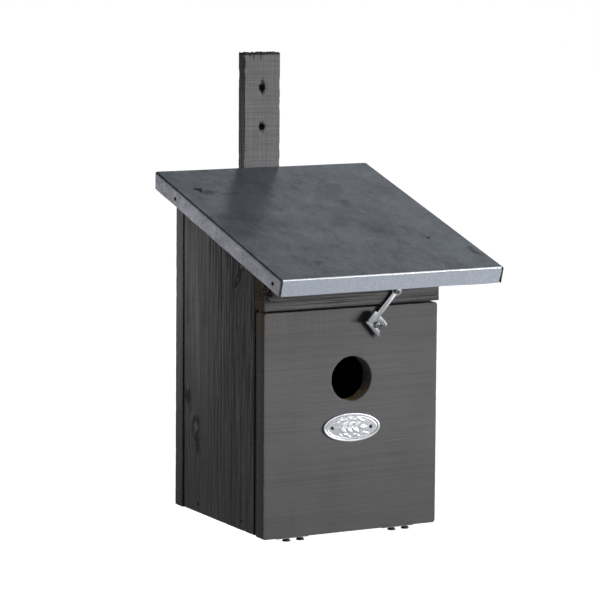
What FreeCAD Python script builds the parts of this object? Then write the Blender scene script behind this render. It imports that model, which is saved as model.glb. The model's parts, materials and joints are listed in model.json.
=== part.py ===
import FreeCAD, Part
import os
import re
import Sketcher

# A bird nest box for a wall or a tree: a carcase of painted boards, a front door that folds down
# on two hinges, a hook that holds the door shut, a sloping roof capped with a folded metal sheet,
# and a batten behind it to hang it by.
#
# Frame: +Z up, the door faces -Y, left and right are as seen from the front. The origin lies under
# the middle of the whole box, at the level of the hinge screw heads, which it stands on.

V = FreeCAD.Vector

# Driving dimensions, in millimetres and degrees.
SIZES = {
    # Carcase boards
    "box_width": 139.0,
    "side_depth": 112.5,
    "side_height": 198.2,  # at the front edge
    "side_thick": 12.0,
    "back_thick": 12.0,
    "floor_thick": 12.0,
    "rail_thick": 14.0,
    "rail_overlap": 0.5,  # past the sides, at each end
    "rail_gap": 1.8,  # over the door
    # Door
    "door_height": 159.5,
    "door_thick": 12.0,
    "door_gap": 0.8,  # between the door and the sides
    "door_drop": 1.0,  # below the sides
    "door_corner": 2.0,
    "door_ease": 0.8,
    "entrance_diameter": 32.0,
    "entrance_height": 109.3,
    # Roof
    "roof_slope": 16.2,
    "roof_thick": 11.0,
    "eave": 59.2,  # in front of the door
    "side_overhang": 18.0,
    "roof_setback": 1.6,  # in front of the back panel's rear face
    "sheet_thick": 0.6,
    "sheet_fit": 0.1,
    "bend_radius": 1.4,
    "apron_depth": 12.0,
    "corner_seam": 1.0,
    # Hanging batten
    "batten_width": 29.5,
    "batten_thick": 9.5,
    "batten_length": 319.0,
    "batten_foot": 11.0,  # above the lower edge of the sides
    "hanging_radius": 2.6,
    "hanging_inset": 25.7,
    "hanging_spacing": 28.7,
    # Hinges
    "hinge_inset": 27.0,  # from the edge of the door to the middle of a hinge
    "leaf_length": 20.0,
    "leaf_reach": 10.2,  # from the pin to the leaf's edge
    "leaf_thick": 0.9,
    "knuckle_radius": 1.7,
    "knuckle_gap": 0.2,
    "middle_knuckle": 6.6,  # length
    "hinge_pin_radius": 0.8,
    "hinge_screw_spacing": 11.0,
    "hinge_screw_radius": 1.3,
    "hinge_screw_depth": 9.0,
    "hinge_seat_radius": 1.6,
    "hinge_head_radius": 3.0,
    "hinge_head_height": 2.5,
    # Latch
    "pivot_inset": 35.3,  # from the right edge of the box
    "pivot_rise": 8.5,  # above the lower edge of the rail
    "pivot_radius": 1.5,
    "pivot_depth": 11.0,
    "latch_run": 16.2,  # from the pivot across to the keeper
    "keeper_drop": 12.8,  # below the upper edge of the door
    "keeper_radius": 1.3,
    "keeper_depth": 9.0,
    "latch_head_radius": 2.2,
    "latch_crown_radius": 1.4,
    "latch_head_height": 1.5,
    "latch_play": 0.3,
    "washer_radius": 3.0,
    "washer_thick": 1.0,
    "hook_thick": 1.2,
    "hook_eye_radius": 3.9,
    "hook_arm_width": 3.8,
    "hook_arm_set": 2.75,  # how far the arm stands back from the line to the keeper
    "hook_neck": 6.9,  # from the keeper back to the end of the arm
    "hook_slot_play": 0.3,
    "hook_prong": 7.4,  # length of the prongs past the keeper
    "hook_prong_width": 3.3,
    "hook_mouth_flare": 0.9,
    "hook_fin": 4.9,  # length of the lower prong's straight edge
    "hook_fin_lean": 0.6,
    "hook_fin_radius": 3.0,
    "hook_toe": 6.6,  # from the keeper to the tip of the lower prong
    "hook_heel": 2.9,  # from the keeper to the lower end of the fold
    "hook_back": 9.4,  # from the keeper to the fold of the finger tab
    "hook_tip_radius": 0.8,
    "tab_length": 10.5,
    "tab_height": 5.4,
    "tab_lean": 1.3,
    "tab_taper": 0.8,
    "tab_angle": 80.0,
    # Oval plate
    "plate_length": 45.0,
    "plate_height": 20.0,
    "plate_thick": 0.8,
    "plate_rim_width": 1.7,
    "plate_rim_rise": 0.5,
    "plate_centre": 74.7,  # above the lower edge of the door
    "plate_tilt": 2.0,
    "plate_pin_spread": 15.5,
    "plate_pin_radius": 0.7,
    "plate_pin_head": 1.3,
    "plate_pin_crown": 0.9,
    "plate_pin_head_height": 0.5,
    "plate_pin_depth": 7.0,
    # Nails and batten screws
    "nail_radius": 0.9,
    "nail_head_radius": 1.4,
    "nail_crown_radius": 1.0,
    "nail_head_height": 0.5,
    "side_nail_length": 26.0,
    "side_nail_rise": 6.2,
    "side_nail_front": 21.5,  # from the front edge of the sides
    "side_nail_rear": 22.5,  # from the rear edge of the sides
    "back_nail_length": 28.0,
    "back_nail_inset": 38.0,  # from the lower edge of the sides
    "back_nail_step": 80.0,
    "floor_nail_inset": 22.5,  # from the inner faces of the sides
    "roof_nail_length": 24.0,
    "roof_nail_inset": 28.0,  # from the ends of the sides
    "roof_nail_edge": 21.5,  # from the edges of the box, into the rail and the back panel
    "roof_nail_margin": 4.4,  # from the front faces of the rail and the back panel
    "sheet_nail_length": 14.0,
    "sheet_nail_drop": 7.0,
    "sheet_nail_front": 11.2,
    "sheet_nail_rear": 36.0,
    "batten_screw_radius": 1.75,
    "batten_screw_length": 19.0,
    "batten_head_radius": 3.5,
    "batten_head_height": 2.0,
    "batten_screw_inset": 30.0,
    "batten_screw_step": 85.0,
    # Room around fasteners and pins
    "fit_clearance": 0.05,
}

# Places and sizes that follow from the driving dimensions.
PLACES = {
    # Heights
    "door_bottom": "leaf_thick + hinge_head_height",
    "side_bottom": "door_bottom + door_drop",
    "rail_bottom": "door_bottom + door_height + rail_gap",
    "rail_height": "side_bottom + side_height - rail_bottom",  # at its rear face
    "back_height": "side_height + side_depth * tan(roof_slope)",  # at its front face
    # Depths, from the door's face to the rear
    "box_depth": "door_thick + door_gap + side_depth + back_thick",
    "bend_loss": "bend_radius * (cos(roof_slope) + sin(roof_slope) - 1)",
    "door_face": "(eave - bend_loss - box_depth - batten_thick) / 2",
    "side_front": "door_face + door_thick + door_gap",
    "side_rear": "side_front + side_depth",
    "back_rear": "side_rear + back_thick",
    "rail_face": "side_front - rail_thick",
    # Widths
    "inner_width": "box_width - 2 * side_thick",
    "side_middle": "(box_width - side_thick) / 2",
    "rail_width": "box_width + 2 * rail_overlap",
    "roof_width": "box_width + 2 * side_overhang",
    "roof_board_width": "roof_width - 2 * (sheet_thick + sheet_fit)",
    # Roof frame: its origin is the front upper edge, v runs up the slope and w stands square to it
    "roof_run": "eave + box_depth - roof_setback",
    "roof_cover": "sheet_thick + roof_thick",
    "roof_front": "door_face - eave",
    "roof_edge": "side_bottom + side_height - (eave + door_thick + door_gap) * tan(roof_slope)"
    " + roof_cover / cos(roof_slope)",
    # Hinges
    "hinge_spread": "box_width / 2 - hinge_inset",
    "hinge_line": "door_face + door_thick + door_gap / 2",
    "hinge_height": "door_bottom - knuckle_radius",
    "hinge_bore": "hinge_pin_radius + fit_clearance",
    "screw_offset": "(door_thick + door_gap) / 2",  # from the hinge line to the screws
    "end_knuckle": "(leaf_length - middle_knuckle) / 2 - knuckle_gap",
    # Latch: the hook reaches from its pivot to the keeper
    "pivot_across": "box_width / 2 - pivot_inset",
    "pivot_height": "rail_bottom + pivot_rise",
    "keeper_across": "pivot_across - latch_run",
    "latch_fall": "pivot_rise + rail_gap + keeper_drop",
    "hook_reach": "sqrt(latch_run^2 + latch_fall^2)",
    "hook_angle": "atan2(-latch_fall; -latch_run)",
    "hook_rear": "rail_face - washer_thick",
    "latch_seat": "hook_rear - hook_thick - latch_play",
    "slot_half": "keeper_radius + hook_slot_play",
    "tab_fold": "sqrt(tab_length^2 + tab_lean^2)",
    # Fasteners
    "floor_nail_spread": "inner_width / 2 - floor_nail_inset",
    "roof_nail_spread": "box_width / 2 - roof_nail_edge",
    "plate_height_mid": "door_bottom + plate_centre",
    "batten_bottom": "side_bottom + batten_foot",
    "hanging_top": "batten_bottom + batten_length - hanging_inset",
}

doc = FreeCAD.newDocument("NestBox")
size_table = doc.addObject("Spreadsheet::Sheet", "Sizes")
for row, (alias, size) in enumerate(SIZES.items(), start=1):
    size_table.set(f"A{row}", alias.replace("_", " "))
    size_table.set(f"B{row}", str(size))
    size_table.setAlias(f"B{row}", alias)
doc.recompute()

NODES = []


def formula(text):
    """The expression for a text in the names of SIZES and PLACES."""

    def expand(match):
        name = match.group(0)
        if name in SIZES:
            return "Sizes." + name
        if name in PLACES:
            return "(" + formula(PLACES[name]) + ")"
        return name

    return re.sub(r"[a-z_]{3,}[a-z0-9_]*", expand, str(text))


def value(text):
    """The number that a text works out to."""
    return float(size_table.evalExpression(formula(text)))


def bind(thing, **settings):
    """Ties properties of an object to the sizes."""
    for name, text in settings.items():
        thing.setExpression(name, formula(text))
    return thing


def place(thing, x=0, y=0, z=0, turn=None, axis=None, angle=None):
    """Places an object, with a fixed turn, or turned about an axis by a bound angle."""
    if axis:
        turn = FreeCAD.Rotation(axis, value(angle))
    if turn:
        thing.Placement = FreeCAD.Placement(V(), turn)
    if axis:
        thing.setExpression("Placement.Rotation.Angle", formula(angle))
    for name, text in zip("xyz", (x, y, z)):
        thing.setExpression(f"Placement.Base.{name}", formula(text))
    return thing


def place_on_roof(thing, x, y, z):
    """Places an object that lies along the roof's slope."""
    return place(thing, x, y, z, axis=V(1, 0, 0), angle="roof_slope")


def node(thing, name):
    """Names a finished sub-part."""
    thing.Label = name
    NODES.append(thing)
    return thing


def block(name, length, width, height, x, y, z):
    box = doc.addObject("Part::Box", name)
    bind(box, Length=length, Width=width, Height=height)
    return place(box, x, y, z)


def rod(name, radius, length, turn=None, x=0, y=0, z=0):
    """A cylinder that starts at its place and runs along Z, turned by turn."""
    cylinder = doc.addObject("Part::Cylinder", name)
    bind(cylinder, Radius=radius, Height=length)
    return place(cylinder, x, y, z, turn=turn)


def cut(name, base, *tools):
    result = doc.addObject("Part::Cut", name)
    result.Base = base
    result.Tool = tools[0] if len(tools) == 1 else gather(name + "_tools", tools)
    return result


def fuse(name, *shapes):
    result = doc.addObject("Part::MultiFuse", name)
    result.Shapes = list(shapes)
    return result


def gather(name, shapes):
    group = doc.addObject("Part::Compound", name)
    group.Links = list(shapes)
    return group


def new_sketch(body, name, role):
    sketch = body.newObject("Sketcher::SketchObject", name)
    plane = next(feature for feature in body.Origin.OriginFeatures if feature.Role == role)
    sketch.AttachmentSupport = [(plane, "")]
    sketch.MapMode = "FlatFace"
    return sketch


def hold_point(sketch, geometry, point, x, y):
    """Ties a point of a sketch to bound distances from the sketch's origin."""
    for kind, text in (("DistanceX", x), ("DistanceY", y)):
        index = sketch.addConstraint(Sketcher.Constraint(kind, geometry, point, value(text)))
        sketch.setExpression(f"Constraints[{index}]", formula(text))


def polygon(body, name, role, corners):
    """A closed outline whose corners are given as pairs of texts."""
    sketch = new_sketch(body, name, role)
    spots = [V(value(x), value(y), 0) for x, y in corners]
    following = spots[1:] + spots[:1]
    for start, end in zip(spots, following):
        sketch.addGeometry(Part.LineSegment(start, end))
    count = len(corners)
    for index, (x, y) in enumerate(corners):
        sketch.addConstraint(Sketcher.Constraint("Coincident", index, 2, (index + 1) % count, 1))
        hold_point(sketch, index, 1, x, y)
    return sketch


def disc(body, name, role, x, y, radius):
    """A circle with a bound centre and radius."""
    sketch = new_sketch(body, name, role)
    circle = Part.Circle(V(value(x), value(y), 0), V(0, 0, 1), value(radius))
    sketch.addGeometry(circle)
    hold_point(sketch, 0, 3, x, y)
    index = sketch.addConstraint(Sketcher.Constraint("Radius", 0, value(radius)))
    sketch.setExpression(f"Constraints[{index}]", formula(radius))
    return sketch


def pad(body, sketch, length, backwards=False):
    feature = body.newObject("PartDesign::Pad", sketch.Name + "_pad")
    feature.Profile = sketch
    feature.Reversed = backwards
    bind(feature, Length=length)
    doc.recompute()
    return feature


def pocket(body, sketch, length, backwards=False):
    """Cuts a sketch out of a body, and stops if it cut nothing."""
    before = body.Shape.Volume
    feature = body.newObject("PartDesign::Pocket", sketch.Name + "_pocket")
    feature.Profile = sketch
    feature.Reversed = backwards
    bind(feature, Length=length)
    doc.recompute()
    if body.Shape.Volume > before - 1e-6:
        raise RuntimeError(f"{feature.Name} cuts nothing")
    return feature


def round_edges(body, base, name, radius, chosen):
    """Rounds the edges of base that pass a test of their end points."""
    names = []
    for index, edge in enumerate(base.Shape.Edges, start=1):
        ends = [vertex.Point for vertex in edge.Vertexes]
        if len(ends) == 2 and chosen(*ends):
            names.append(f"Edge{index}")
    feature = body.newObject("PartDesign::Fillet", name)
    feature.Base = (base, names)
    bind(feature, Radius=radius)
    doc.recompute()
    return feature


def near(first, second):
    return abs(first - second) < 1e-6


def board(name, profile, width):
    """A body whose section across X is a polygon, with its length along X."""
    body = doc.addObject("PartDesign::Body", name)
    feature = pad(body, polygon(body, name + "_section", "YZ_Plane", profile), width)
    return body, feature


# Directions in which a fastener's head looks.
OUTWARD = {
    "left": FreeCAD.Rotation(V(0, 1, 0), -90),
    "right": FreeCAD.Rotation(V(0, 1, 0), 90),
    "front": FreeCAD.Rotation(V(1, 0, 0), 90),
    "rear": FreeCAD.Rotation(V(1, 0, 0), -90),
    "down": FreeCAD.Rotation(V(1, 0, 0), 180),
}


class Fasteners:
    """A group of like fasteners and the bores that they sit in.

    Each is a shank and a coned head. Its place is the middle of the head's seat. A sunk head has a
    recess of its own shape in the bore.
    """

    def __init__(self, name, shank, length, seat_radius, crown_radius, head_height, sunk=False):
        self.name = name
        self.shank = shank
        self.length = length
        self.head = (seat_radius, crown_radius, head_height)
        self.sunk = sunk
        self.solids = []
        self.bores = []

    def build(self, name, room):
        """A fastener at the origin with its head up, grown all round by some room."""
        seat_radius, crown_radius, head_height = self.head
        shank = rod(
            name + "_shank",
            f"{self.shank} + {room}",
            f"{self.length} + 2 * {room}",
            z=f"-({self.length} + {room})",
        )
        if room and not self.sunk:
            return shank
        head = doc.addObject("Part::Cone", name + "_head")
        bind(
            head,
            Radius1=f"{seat_radius} + {room}",
            Radius2=f"{crown_radius} + {room}",
            Height=head_height,
        )
        return fuse(name, shank, head)

    def add(self, x, y, z, outward):
        number = len(self.solids) + 1
        fastener = self.build(f"{self.name}_{number}", 0)
        hole = self.build(f"{self.name}_hole_{number}", "fit_clearance")
        bore = gather(f"{self.name}_bore_{number}", [hole])
        for thing, group in ((fastener, self.solids), (bore, self.bores)):
            if outward == "roof":
                place_on_roof(thing, x, y, z)
            else:
                place(thing, x, y, z, turn=OUTWARD[outward])
            group.append(thing)

    def finish(self):
        """Makes the group a node and returns the group of its bores."""
        node(gather(self.name, self.solids), self.name)
        return gather(self.name + "_bores", self.bores)


def nails(name, length, sunk=False):
    seat, crown = "nail_head_radius", "nail_crown_radius"
    if sunk:
        seat, crown = "nail_radius", "nail_head_radius"
    return Fasteners(name, "nail_radius", length, seat, crown, "nail_head_height", sunk)


def roof_point(v, w):
    """The y and z of a point in the roof frame, as texts."""
    y = f"roof_front + ({v}) * cos(roof_slope) - ({w}) * sin(roof_slope)"
    z = f"roof_edge + ({v}) * sin(roof_slope) + ({w}) * cos(roof_slope)"
    return y, z


def roof_rear(w):
    """How far up the slope the upright rear cut lies, at a height over the roof frame."""
    return f"(roof_run + ({w}) * sin(roof_slope)) / cos(roof_slope)"


def under_roof(y):
    """How far up the slope a nail stands that enters the carcase at a depth y."""
    return f"({y} - roof_front - roof_cover * sin(roof_slope)) / cos(roof_slope)"


def roof_rim(top, rear):
    """A test for the edges of a roof layer's upper face, all but the rear one."""

    def chosen(first, second):
        on_top = near(first.z, top) and near(second.z, top)
        at_rear = near(first.y, rear) and near(second.y, rear)
        return on_top and not at_rear

    return chosen


def at_corners(*corners):
    """A test for the edges that run along Y at the given corners of an outline."""
    spots = [(value(x), value(z)) for x, z in corners]

    def chosen(first, second):
        upright = near(first.x, second.x) and near(first.z, second.z)
        return upright and any(near(first.x, x) and near(first.z, z) for x, z in spots)

    return chosen


# Nails through the sides into the edges of the floor
side_nails = nails("side_nails", "side_nail_length")
for y in ("side_front + side_nail_front", "side_rear - side_nail_rear"):
    side_nails.add("-box_width / 2", y, "side_bottom + side_nail_rise", "left")
    side_nails.add("box_width / 2", y, "side_bottom + side_nail_rise", "right")
side_nail_bores = side_nails.finish()

# Nails through the back panel into the sides and the floor
back_nails = nails("back_nails", "back_nail_length")
for x in ("-side_middle", "side_middle"):
    for step in range(3):
        back_nails.add(x, "back_rear", f"side_bottom + back_nail_inset + {step} * back_nail_step", "rear")
for x in ("-floor_nail_spread", "floor_nail_spread"):
    back_nails.add(x, "back_rear", "side_bottom + side_nail_rise", "rear")
back_nail_bores = back_nails.finish()

# Nails through the roof board, flush under the sheet, into the sides, the rail and the back panel
roof_nails = nails("roof_nails", "roof_nail_length", sunk=True)
roof_seat = "-(sheet_thick + nail_head_height)"
for x in ("-side_middle", "side_middle"):
    for y in ("side_front + roof_nail_inset", "side_rear - roof_nail_inset"):
        roof_nails.add(x, *roof_point(under_roof(y), roof_seat), "roof")
for x in ("-roof_nail_spread", "roof_nail_spread"):
    for y in ("rail_face + roof_nail_margin", "side_rear + roof_nail_margin"):
        roof_nails.add(x, *roof_point(under_roof(y), roof_seat), "roof")
roof_nail_bores = roof_nails.finish()

# Nails through the sheet's side aprons into the edges of the roof board
sheet_nails = nails("sheet_nails", "sheet_nail_length")
for v in ("sheet_nail_front", roof_rear(0) + " - sheet_nail_rear"):
    sheet_nails.add("-roof_width / 2", *roof_point(v, "-sheet_nail_drop"), "left")
    sheet_nails.add("roof_width / 2", *roof_point(v, "-sheet_nail_drop"), "right")
sheet_nail_bores = sheet_nails.finish()

# Countersunk screws through the batten into the back panel
batten_screws = Fasteners(
    "batten_screws",
    "batten_screw_radius",
    "batten_screw_length - batten_head_height",
    "batten_screw_radius",
    "batten_head_radius",
    "batten_head_height",
    sunk=True,
)
for step in range(3):
    height = f"batten_bottom + batten_screw_inset + {step} * batten_screw_step"
    batten_screws.add(0, "back_rear + batten_thick - batten_head_height", height, "rear")
batten_screw_bores = batten_screws.finish()

# Screws up through the hinge leaves, into the door's lower edge and into the floor
hinge_screw_bores = {}
for name, away in (("door", "-screw_offset"), ("floor", "screw_offset")):
    screws = Fasteners(
        f"hinge_{name}_screws",
        "hinge_screw_radius",
        "leaf_thick + hinge_screw_depth",
        "hinge_seat_radius",
        "hinge_head_radius",
        "hinge_head_height",
    )
    for side in (-1, 1):
        for end in (-1, 1):
            across = f"{side} * hinge_spread + {end} * hinge_screw_spacing / 2"
            screws.add(across, f"hinge_line + {away}", "hinge_head_height", "down")
    hinge_screw_bores[name] = screws.finish()

# Pivot of the hook, in the rail, and its keeper, in the door
pivot_screw = Fasteners(
    "latch_pivot_screw",
    "pivot_radius",
    "rail_face - latch_seat + pivot_depth",
    "latch_head_radius",
    "latch_crown_radius",
    "latch_head_height",
)
pivot_screw.add("pivot_across", "latch_seat", "pivot_height", "front")
pivot_bore = pivot_screw.finish()
keeper_screw = Fasteners(
    "latch_keeper_screw",
    "keeper_radius",
    "door_face - latch_seat + keeper_depth",
    "latch_head_radius",
    "latch_crown_radius",
    "latch_head_height",
)
keeper_screw.add("keeper_across", "latch_seat", "door_bottom + door_height - keeper_drop", "front")
keeper_bore = keeper_screw.finish()

# Pins of the oval plate
plate_pins = Fasteners(
    "plate_pins",
    "plate_pin_radius",
    "plate_thick + plate_pin_depth",
    "plate_pin_head",
    "plate_pin_crown",
    "plate_pin_head_height",
)
for side in (-1, 1):
    plate_pins.add(
        f"{side} * plate_pin_spread * cos(plate_tilt)",
        "door_face - plate_thick",
        f"plate_height_mid - {side} * plate_pin_spread * sin(plate_tilt)",
        "front",
    )
plate_pin_bores = plate_pins.finish()

# Sides, with their upper edges cut to the roof's slope
side_profile = [
    ("0", "0"),
    ("side_depth", "0"),
    ("side_depth", "back_height"),
    ("0", "side_height"),
]
for name, x in (("left_side", "-box_width / 2"), ("right_side", "box_width / 2 - side_thick")):
    blank, _ = board(name + "_blank", side_profile, "side_thick")
    place(blank, x, "side_front", "side_bottom")
    node(cut(name, blank, side_nail_bores, back_nail_bores, roof_nail_bores), name)

# Back panel, across the rear edges of the sides
back_profile = [
    ("0", "0"),
    ("back_thick", "0"),
    ("back_thick", "back_height + back_thick * tan(roof_slope)"),
    ("0", "back_height"),
]
blank, _ = board("back_panel_blank", back_profile, "box_width")
place(blank, "-box_width / 2", "side_rear", "side_bottom")
node(cut("back_panel", blank, back_nail_bores, roof_nail_bores, batten_screw_bores), "back_panel")

# Floor, between the sides and level with the door's lower edge
blank = block(
    "floor_blank",
    "inner_width",
    "side_depth",
    "floor_thick",
    "-inner_width / 2",
    "side_front",
    "door_bottom",
)
node(cut("floor_board", blank, side_nail_bores, back_nail_bores, hinge_screw_bores["floor"]), "floor_board")

# Rail over the door, across the front edges of the sides
rail_profile = [
    ("0", "0"),
    ("rail_thick", "0"),
    ("rail_thick", "rail_height"),
    ("0", "rail_height - rail_thick * tan(roof_slope)"),
]
blank, _ = board("front_rail_blank", rail_profile, "rail_width")
place(blank, "-rail_width / 2", "rail_face", "rail_bottom")
node(cut("front_rail", blank, roof_nail_bores, pivot_bore), "front_rail")

# Door, with rounded corners, an eased face and the entrance hole
blank = doc.addObject("PartDesign::Body", "front_door_blank")
outline = [
    ("-box_width / 2", "0"),
    ("box_width / 2", "0"),
    ("box_width / 2", "door_height"),
    ("-box_width / 2", "door_height"),
]
slab = pad(blank, polygon(blank, "door_outline", "XZ_Plane", outline), "door_thick", backwards=True)
entrance = disc(blank, "door_entrance", "XZ_Plane", 0, "entrance_height", "entrance_diameter / 2")
opened = pocket(blank, entrance, "door_thick")
cornered = round_edges(
    blank, opened, "door_corners", "door_corner", lambda a, b: near(a.x, b.x) and near(a.z, b.z)
)
round_edges(blank, cornered, "door_eased", "door_ease", lambda a, b: near(a.y, 0) and near(b.y, 0))
place(blank, 0, "door_face", "door_bottom")
door = cut("front_door", blank, hinge_screw_bores["door"], keeper_bore, plate_pin_bores)
node(door, "front_door")

# Roof board, its rear edge cut upright against the batten
roof_profile = [
    ("sheet_thick + sheet_fit", "-sheet_thick"),
    (roof_rear("-sheet_thick"), "-sheet_thick"),
    (roof_rear("-roof_cover"), "-roof_cover"),
    ("sheet_thick + sheet_fit", "-roof_cover"),
]
blank, slab = board("roof_board_blank", roof_profile, "roof_board_width")
board_top = value("-sheet_thick")
board_rear = value(roof_rear("-sheet_thick"))
round_edges(blank, slab, "roof_board_eased", "bend_radius", roof_rim(board_top, board_rear))
place_on_roof(blank, "-roof_board_width / 2", "roof_front", "roof_edge")
node(cut("roof_board", blank, roof_nail_bores, sheet_nail_bores), "roof_board")

# Roof sheet, folded down over the front and the sides of the board, with open corner seams
sheet_profile = [
    ("0", "0"),
    (roof_rear(0), "0"),
    (roof_rear("-apron_depth"), "-apron_depth"),
    ("0", "-apron_depth"),
]
blank, slab = board("roof_sheet_blank", sheet_profile, "roof_width")
bent = round_edges(blank, slab, "roof_sheet_bends", "bend_radius", roof_rim(0, value(roof_rear(0))))
open_faces = []
for index, face in enumerate(bent.Shape.Faces, start=1):
    normal = face.normalAt(0, 0)
    looks_down = normal.z < -0.9
    looks_back = normal.y > 0.5 and abs(normal.x) < 0.01
    if looks_down or looks_back:
        open_faces.append(f"Face{index}")
shell = blank.newObject("PartDesign::Thickness", "roof_sheet_shell")
shell.Base = (bent, open_faces)
shell.Reversed = True
bind(shell, Value="sheet_thick")
doc.recompute()
place_on_roof(blank, "-roof_width / 2", "roof_front", "roof_edge")
seams = []
for name, x in (
    ("left_seam", "-roof_width / 2 + sheet_thick"),
    ("right_seam", "roof_width / 2 - sheet_thick - corner_seam"),
):
    seam = block(name, "corner_seam", "bend_radius + sheet_thick", "apron_depth", 0, 0, 0)
    y, z = roof_point("-sheet_thick", "-apron_depth - bend_radius")
    seams.append(place_on_roof(seam, x, y, z))
node(cut("roof_sheet", blank, sheet_nail_bores, *seams), "roof_sheet")

# Hanging batten, up the back panel and past the roof, with two holes near its upper end
blank = block(
    "batten_blank",
    "batten_width",
    "batten_thick",
    "batten_length",
    "-batten_width / 2",
    "back_rear",
    "batten_bottom",
)
hanging_holes = []
for step in range(2):
    height = f"hanging_top - {step} * hanging_spacing"
    hole = rod(
        f"hanging_hole_{step + 1}",
        "hanging_radius",
        "2 * batten_thick",
        OUTWARD["rear"],
        0,
        "back_rear - batten_thick / 2",
        height,
    )
    hanging_holes.append(hole)
node(cut("hanging_batten", blank, batten_screw_bores, *hanging_holes), "hanging_batten")


def hinge_rod(name, radius, start, length):
    """A cylinder on the hinge line, from start along X."""
    return rod(name, radius, length, OUTWARD["right"], start, "hinge_line", "hinge_height")


def leaf(name, middle, toward, knuckles, bores):
    """A hinge leaf: a plate under the wood, and knuckles joined to it by tongues."""
    root = "knuckle_radius + knuckle_gap"
    tongue = f"{root} + knuckle_gap"
    plate_start = {-1: "hinge_line - leaf_reach", 1: f"hinge_line + {root}"}[toward]
    tongue_start = {-1: f"hinge_line - ({tongue})", 1: "hinge_line"}[toward]
    bottom = "door_bottom - leaf_thick"
    low_end = f"{middle} - leaf_length / 2"
    plate = block(
        name + "_plate", "leaf_length", f"leaf_reach - ({root})", "leaf_thick", low_end, plate_start, bottom
    )
    shapes = [plate]
    for number, (start, length) in enumerate(knuckles, start=1):
        shapes.append(hinge_rod(f"{name}_knuckle_{number}", "knuckle_radius", start, length))
        shapes.append(
            block(f"{name}_tongue_{number}", length, tongue, "leaf_thick", start, tongue_start, bottom)
        )
    bore = hinge_rod(name + "_bore", "hinge_bore", f"{middle} - leaf_length", "2 * leaf_length")
    node(cut(name, fuse(name + "_blank", *shapes), bore, bores), name)


# Hinges: the floor leaf has the two end knuckles and the pin, the door leaf the middle one
for side, middle in (("left", "-hinge_spread"), ("right", "hinge_spread")):
    low_end = f"{middle} - leaf_length / 2"
    high_end = f"{middle} + leaf_length / 2 - end_knuckle"
    ends = [(low_end, "end_knuckle"), (high_end, "end_knuckle")]
    centre = [(f"{middle} - middle_knuckle / 2", "middle_knuckle")]
    leaf(f"{side}_hinge_floor_leaf", middle, 1, ends, hinge_screw_bores["floor"])
    leaf(f"{side}_hinge_door_leaf", middle, -1, centre, hinge_screw_bores["door"])
    pin_name = f"{side}_hinge_pin"
    node(hinge_rod(pin_name, "hinge_pin_radius", low_end, "leaf_length"), pin_name)

# Washer that holds the hook off the rail
washer_disc = rod(
    "washer_disc",
    "washer_radius",
    "washer_thick",
    OUTWARD["front"],
    "pivot_across",
    "rail_face",
    "pivot_height",
)
node(cut("latch_washer", washer_disc, pivot_bore), "latch_washer")

# Hook, drawn with its pivot at the origin and the keeper along +X, then turned down to the keeper
hook_blank = doc.addObject("PartDesign::Body", "hook_blank")
prong_tip = ("hook_reach - slot_half - hook_prong_width", "hook_prong")
prong_edge = ("hook_reach - slot_half - hook_mouth_flare", "hook_prong")
neck = ("hook_reach - hook_neck", "hook_arm_width / 2 - hook_arm_set")
fin = ("hook_reach + slot_half + hook_fin_lean", "hook_fin")
toe = ("hook_reach + hook_toe", "hook_prong")
heel = ("hook_reach + hook_heel", "-hook_back")
shoulder = ("hook_reach + hook_heel - tab_length", "tab_lean - hook_back")
hook_outline = [
    ("0", "hook_arm_width / 2"),
    neck,
    prong_tip,
    prong_edge,
    ("hook_reach - slot_half", "0"),
    ("hook_reach + slot_half", "0"),
    fin,
    toe,
    heel,
    shoulder,
    (shoulder[0], "-hook_arm_width / 2 - hook_arm_set"),
    ("0", "-hook_arm_width / 2"),
]
stamped = pad(hook_blank, polygon(hook_blank, "hook_outline", "XZ_Plane", hook_outline), "hook_thick")
tipped = round_edges(
    hook_blank, stamped, "hook_tips", "hook_tip_radius", at_corners(prong_tip, prong_edge, toe, neck)
)
round_edges(hook_blank, tipped, "hook_fin", "hook_fin_radius", at_corners(fin))
pad(hook_blank, disc(hook_blank, "hook_eye", "XZ_Plane", 0, 0, "hook_eye_radius"), "hook_thick")
eye_hole = disc(hook_blank, "hook_eye_hole", "XZ_Plane", 0, 0, "pivot_radius + fit_clearance")
pocket(hook_blank, eye_hole, "hook_thick", backwards=True)
throat = disc(hook_blank, "hook_throat", "XZ_Plane", "hook_reach", 0, "slot_half")
pocket(hook_blank, throat, "hook_thick", backwards=True)
# The finger tab is a tapered strip, folded up off the hook about its rear edge.
tab = doc.addObject("Part::Wedge", "hook_tab")
bind(
    tab,
    Xmin="0",
    Xmax="tab_fold",
    X2min="tab_taper",
    X2max="tab_fold - tab_taper",
    Ymin="0",
    Ymax="tab_height",
    Zmin="-hook_thick",
    Zmax="0",
    Z2min="-hook_thick",
    Z2max="0",
)
place(tab, axis=V(1, 0, 0), angle="-(90 + tab_angle)")
folded = place(
    gather("hook_tab_folded", [tab]),
    shoulder[0],
    "0",
    shoulder[1],
    axis=V(0, 1, 0),
    angle="atan2(tab_lean; tab_length)",
)
hook = fuse("latch_hook", hook_blank, folded)
place(hook, "pivot_across", "hook_rear", "pivot_height", axis=V(0, -1, 0), angle="hook_angle")
node(hook, "latch_hook")

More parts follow.
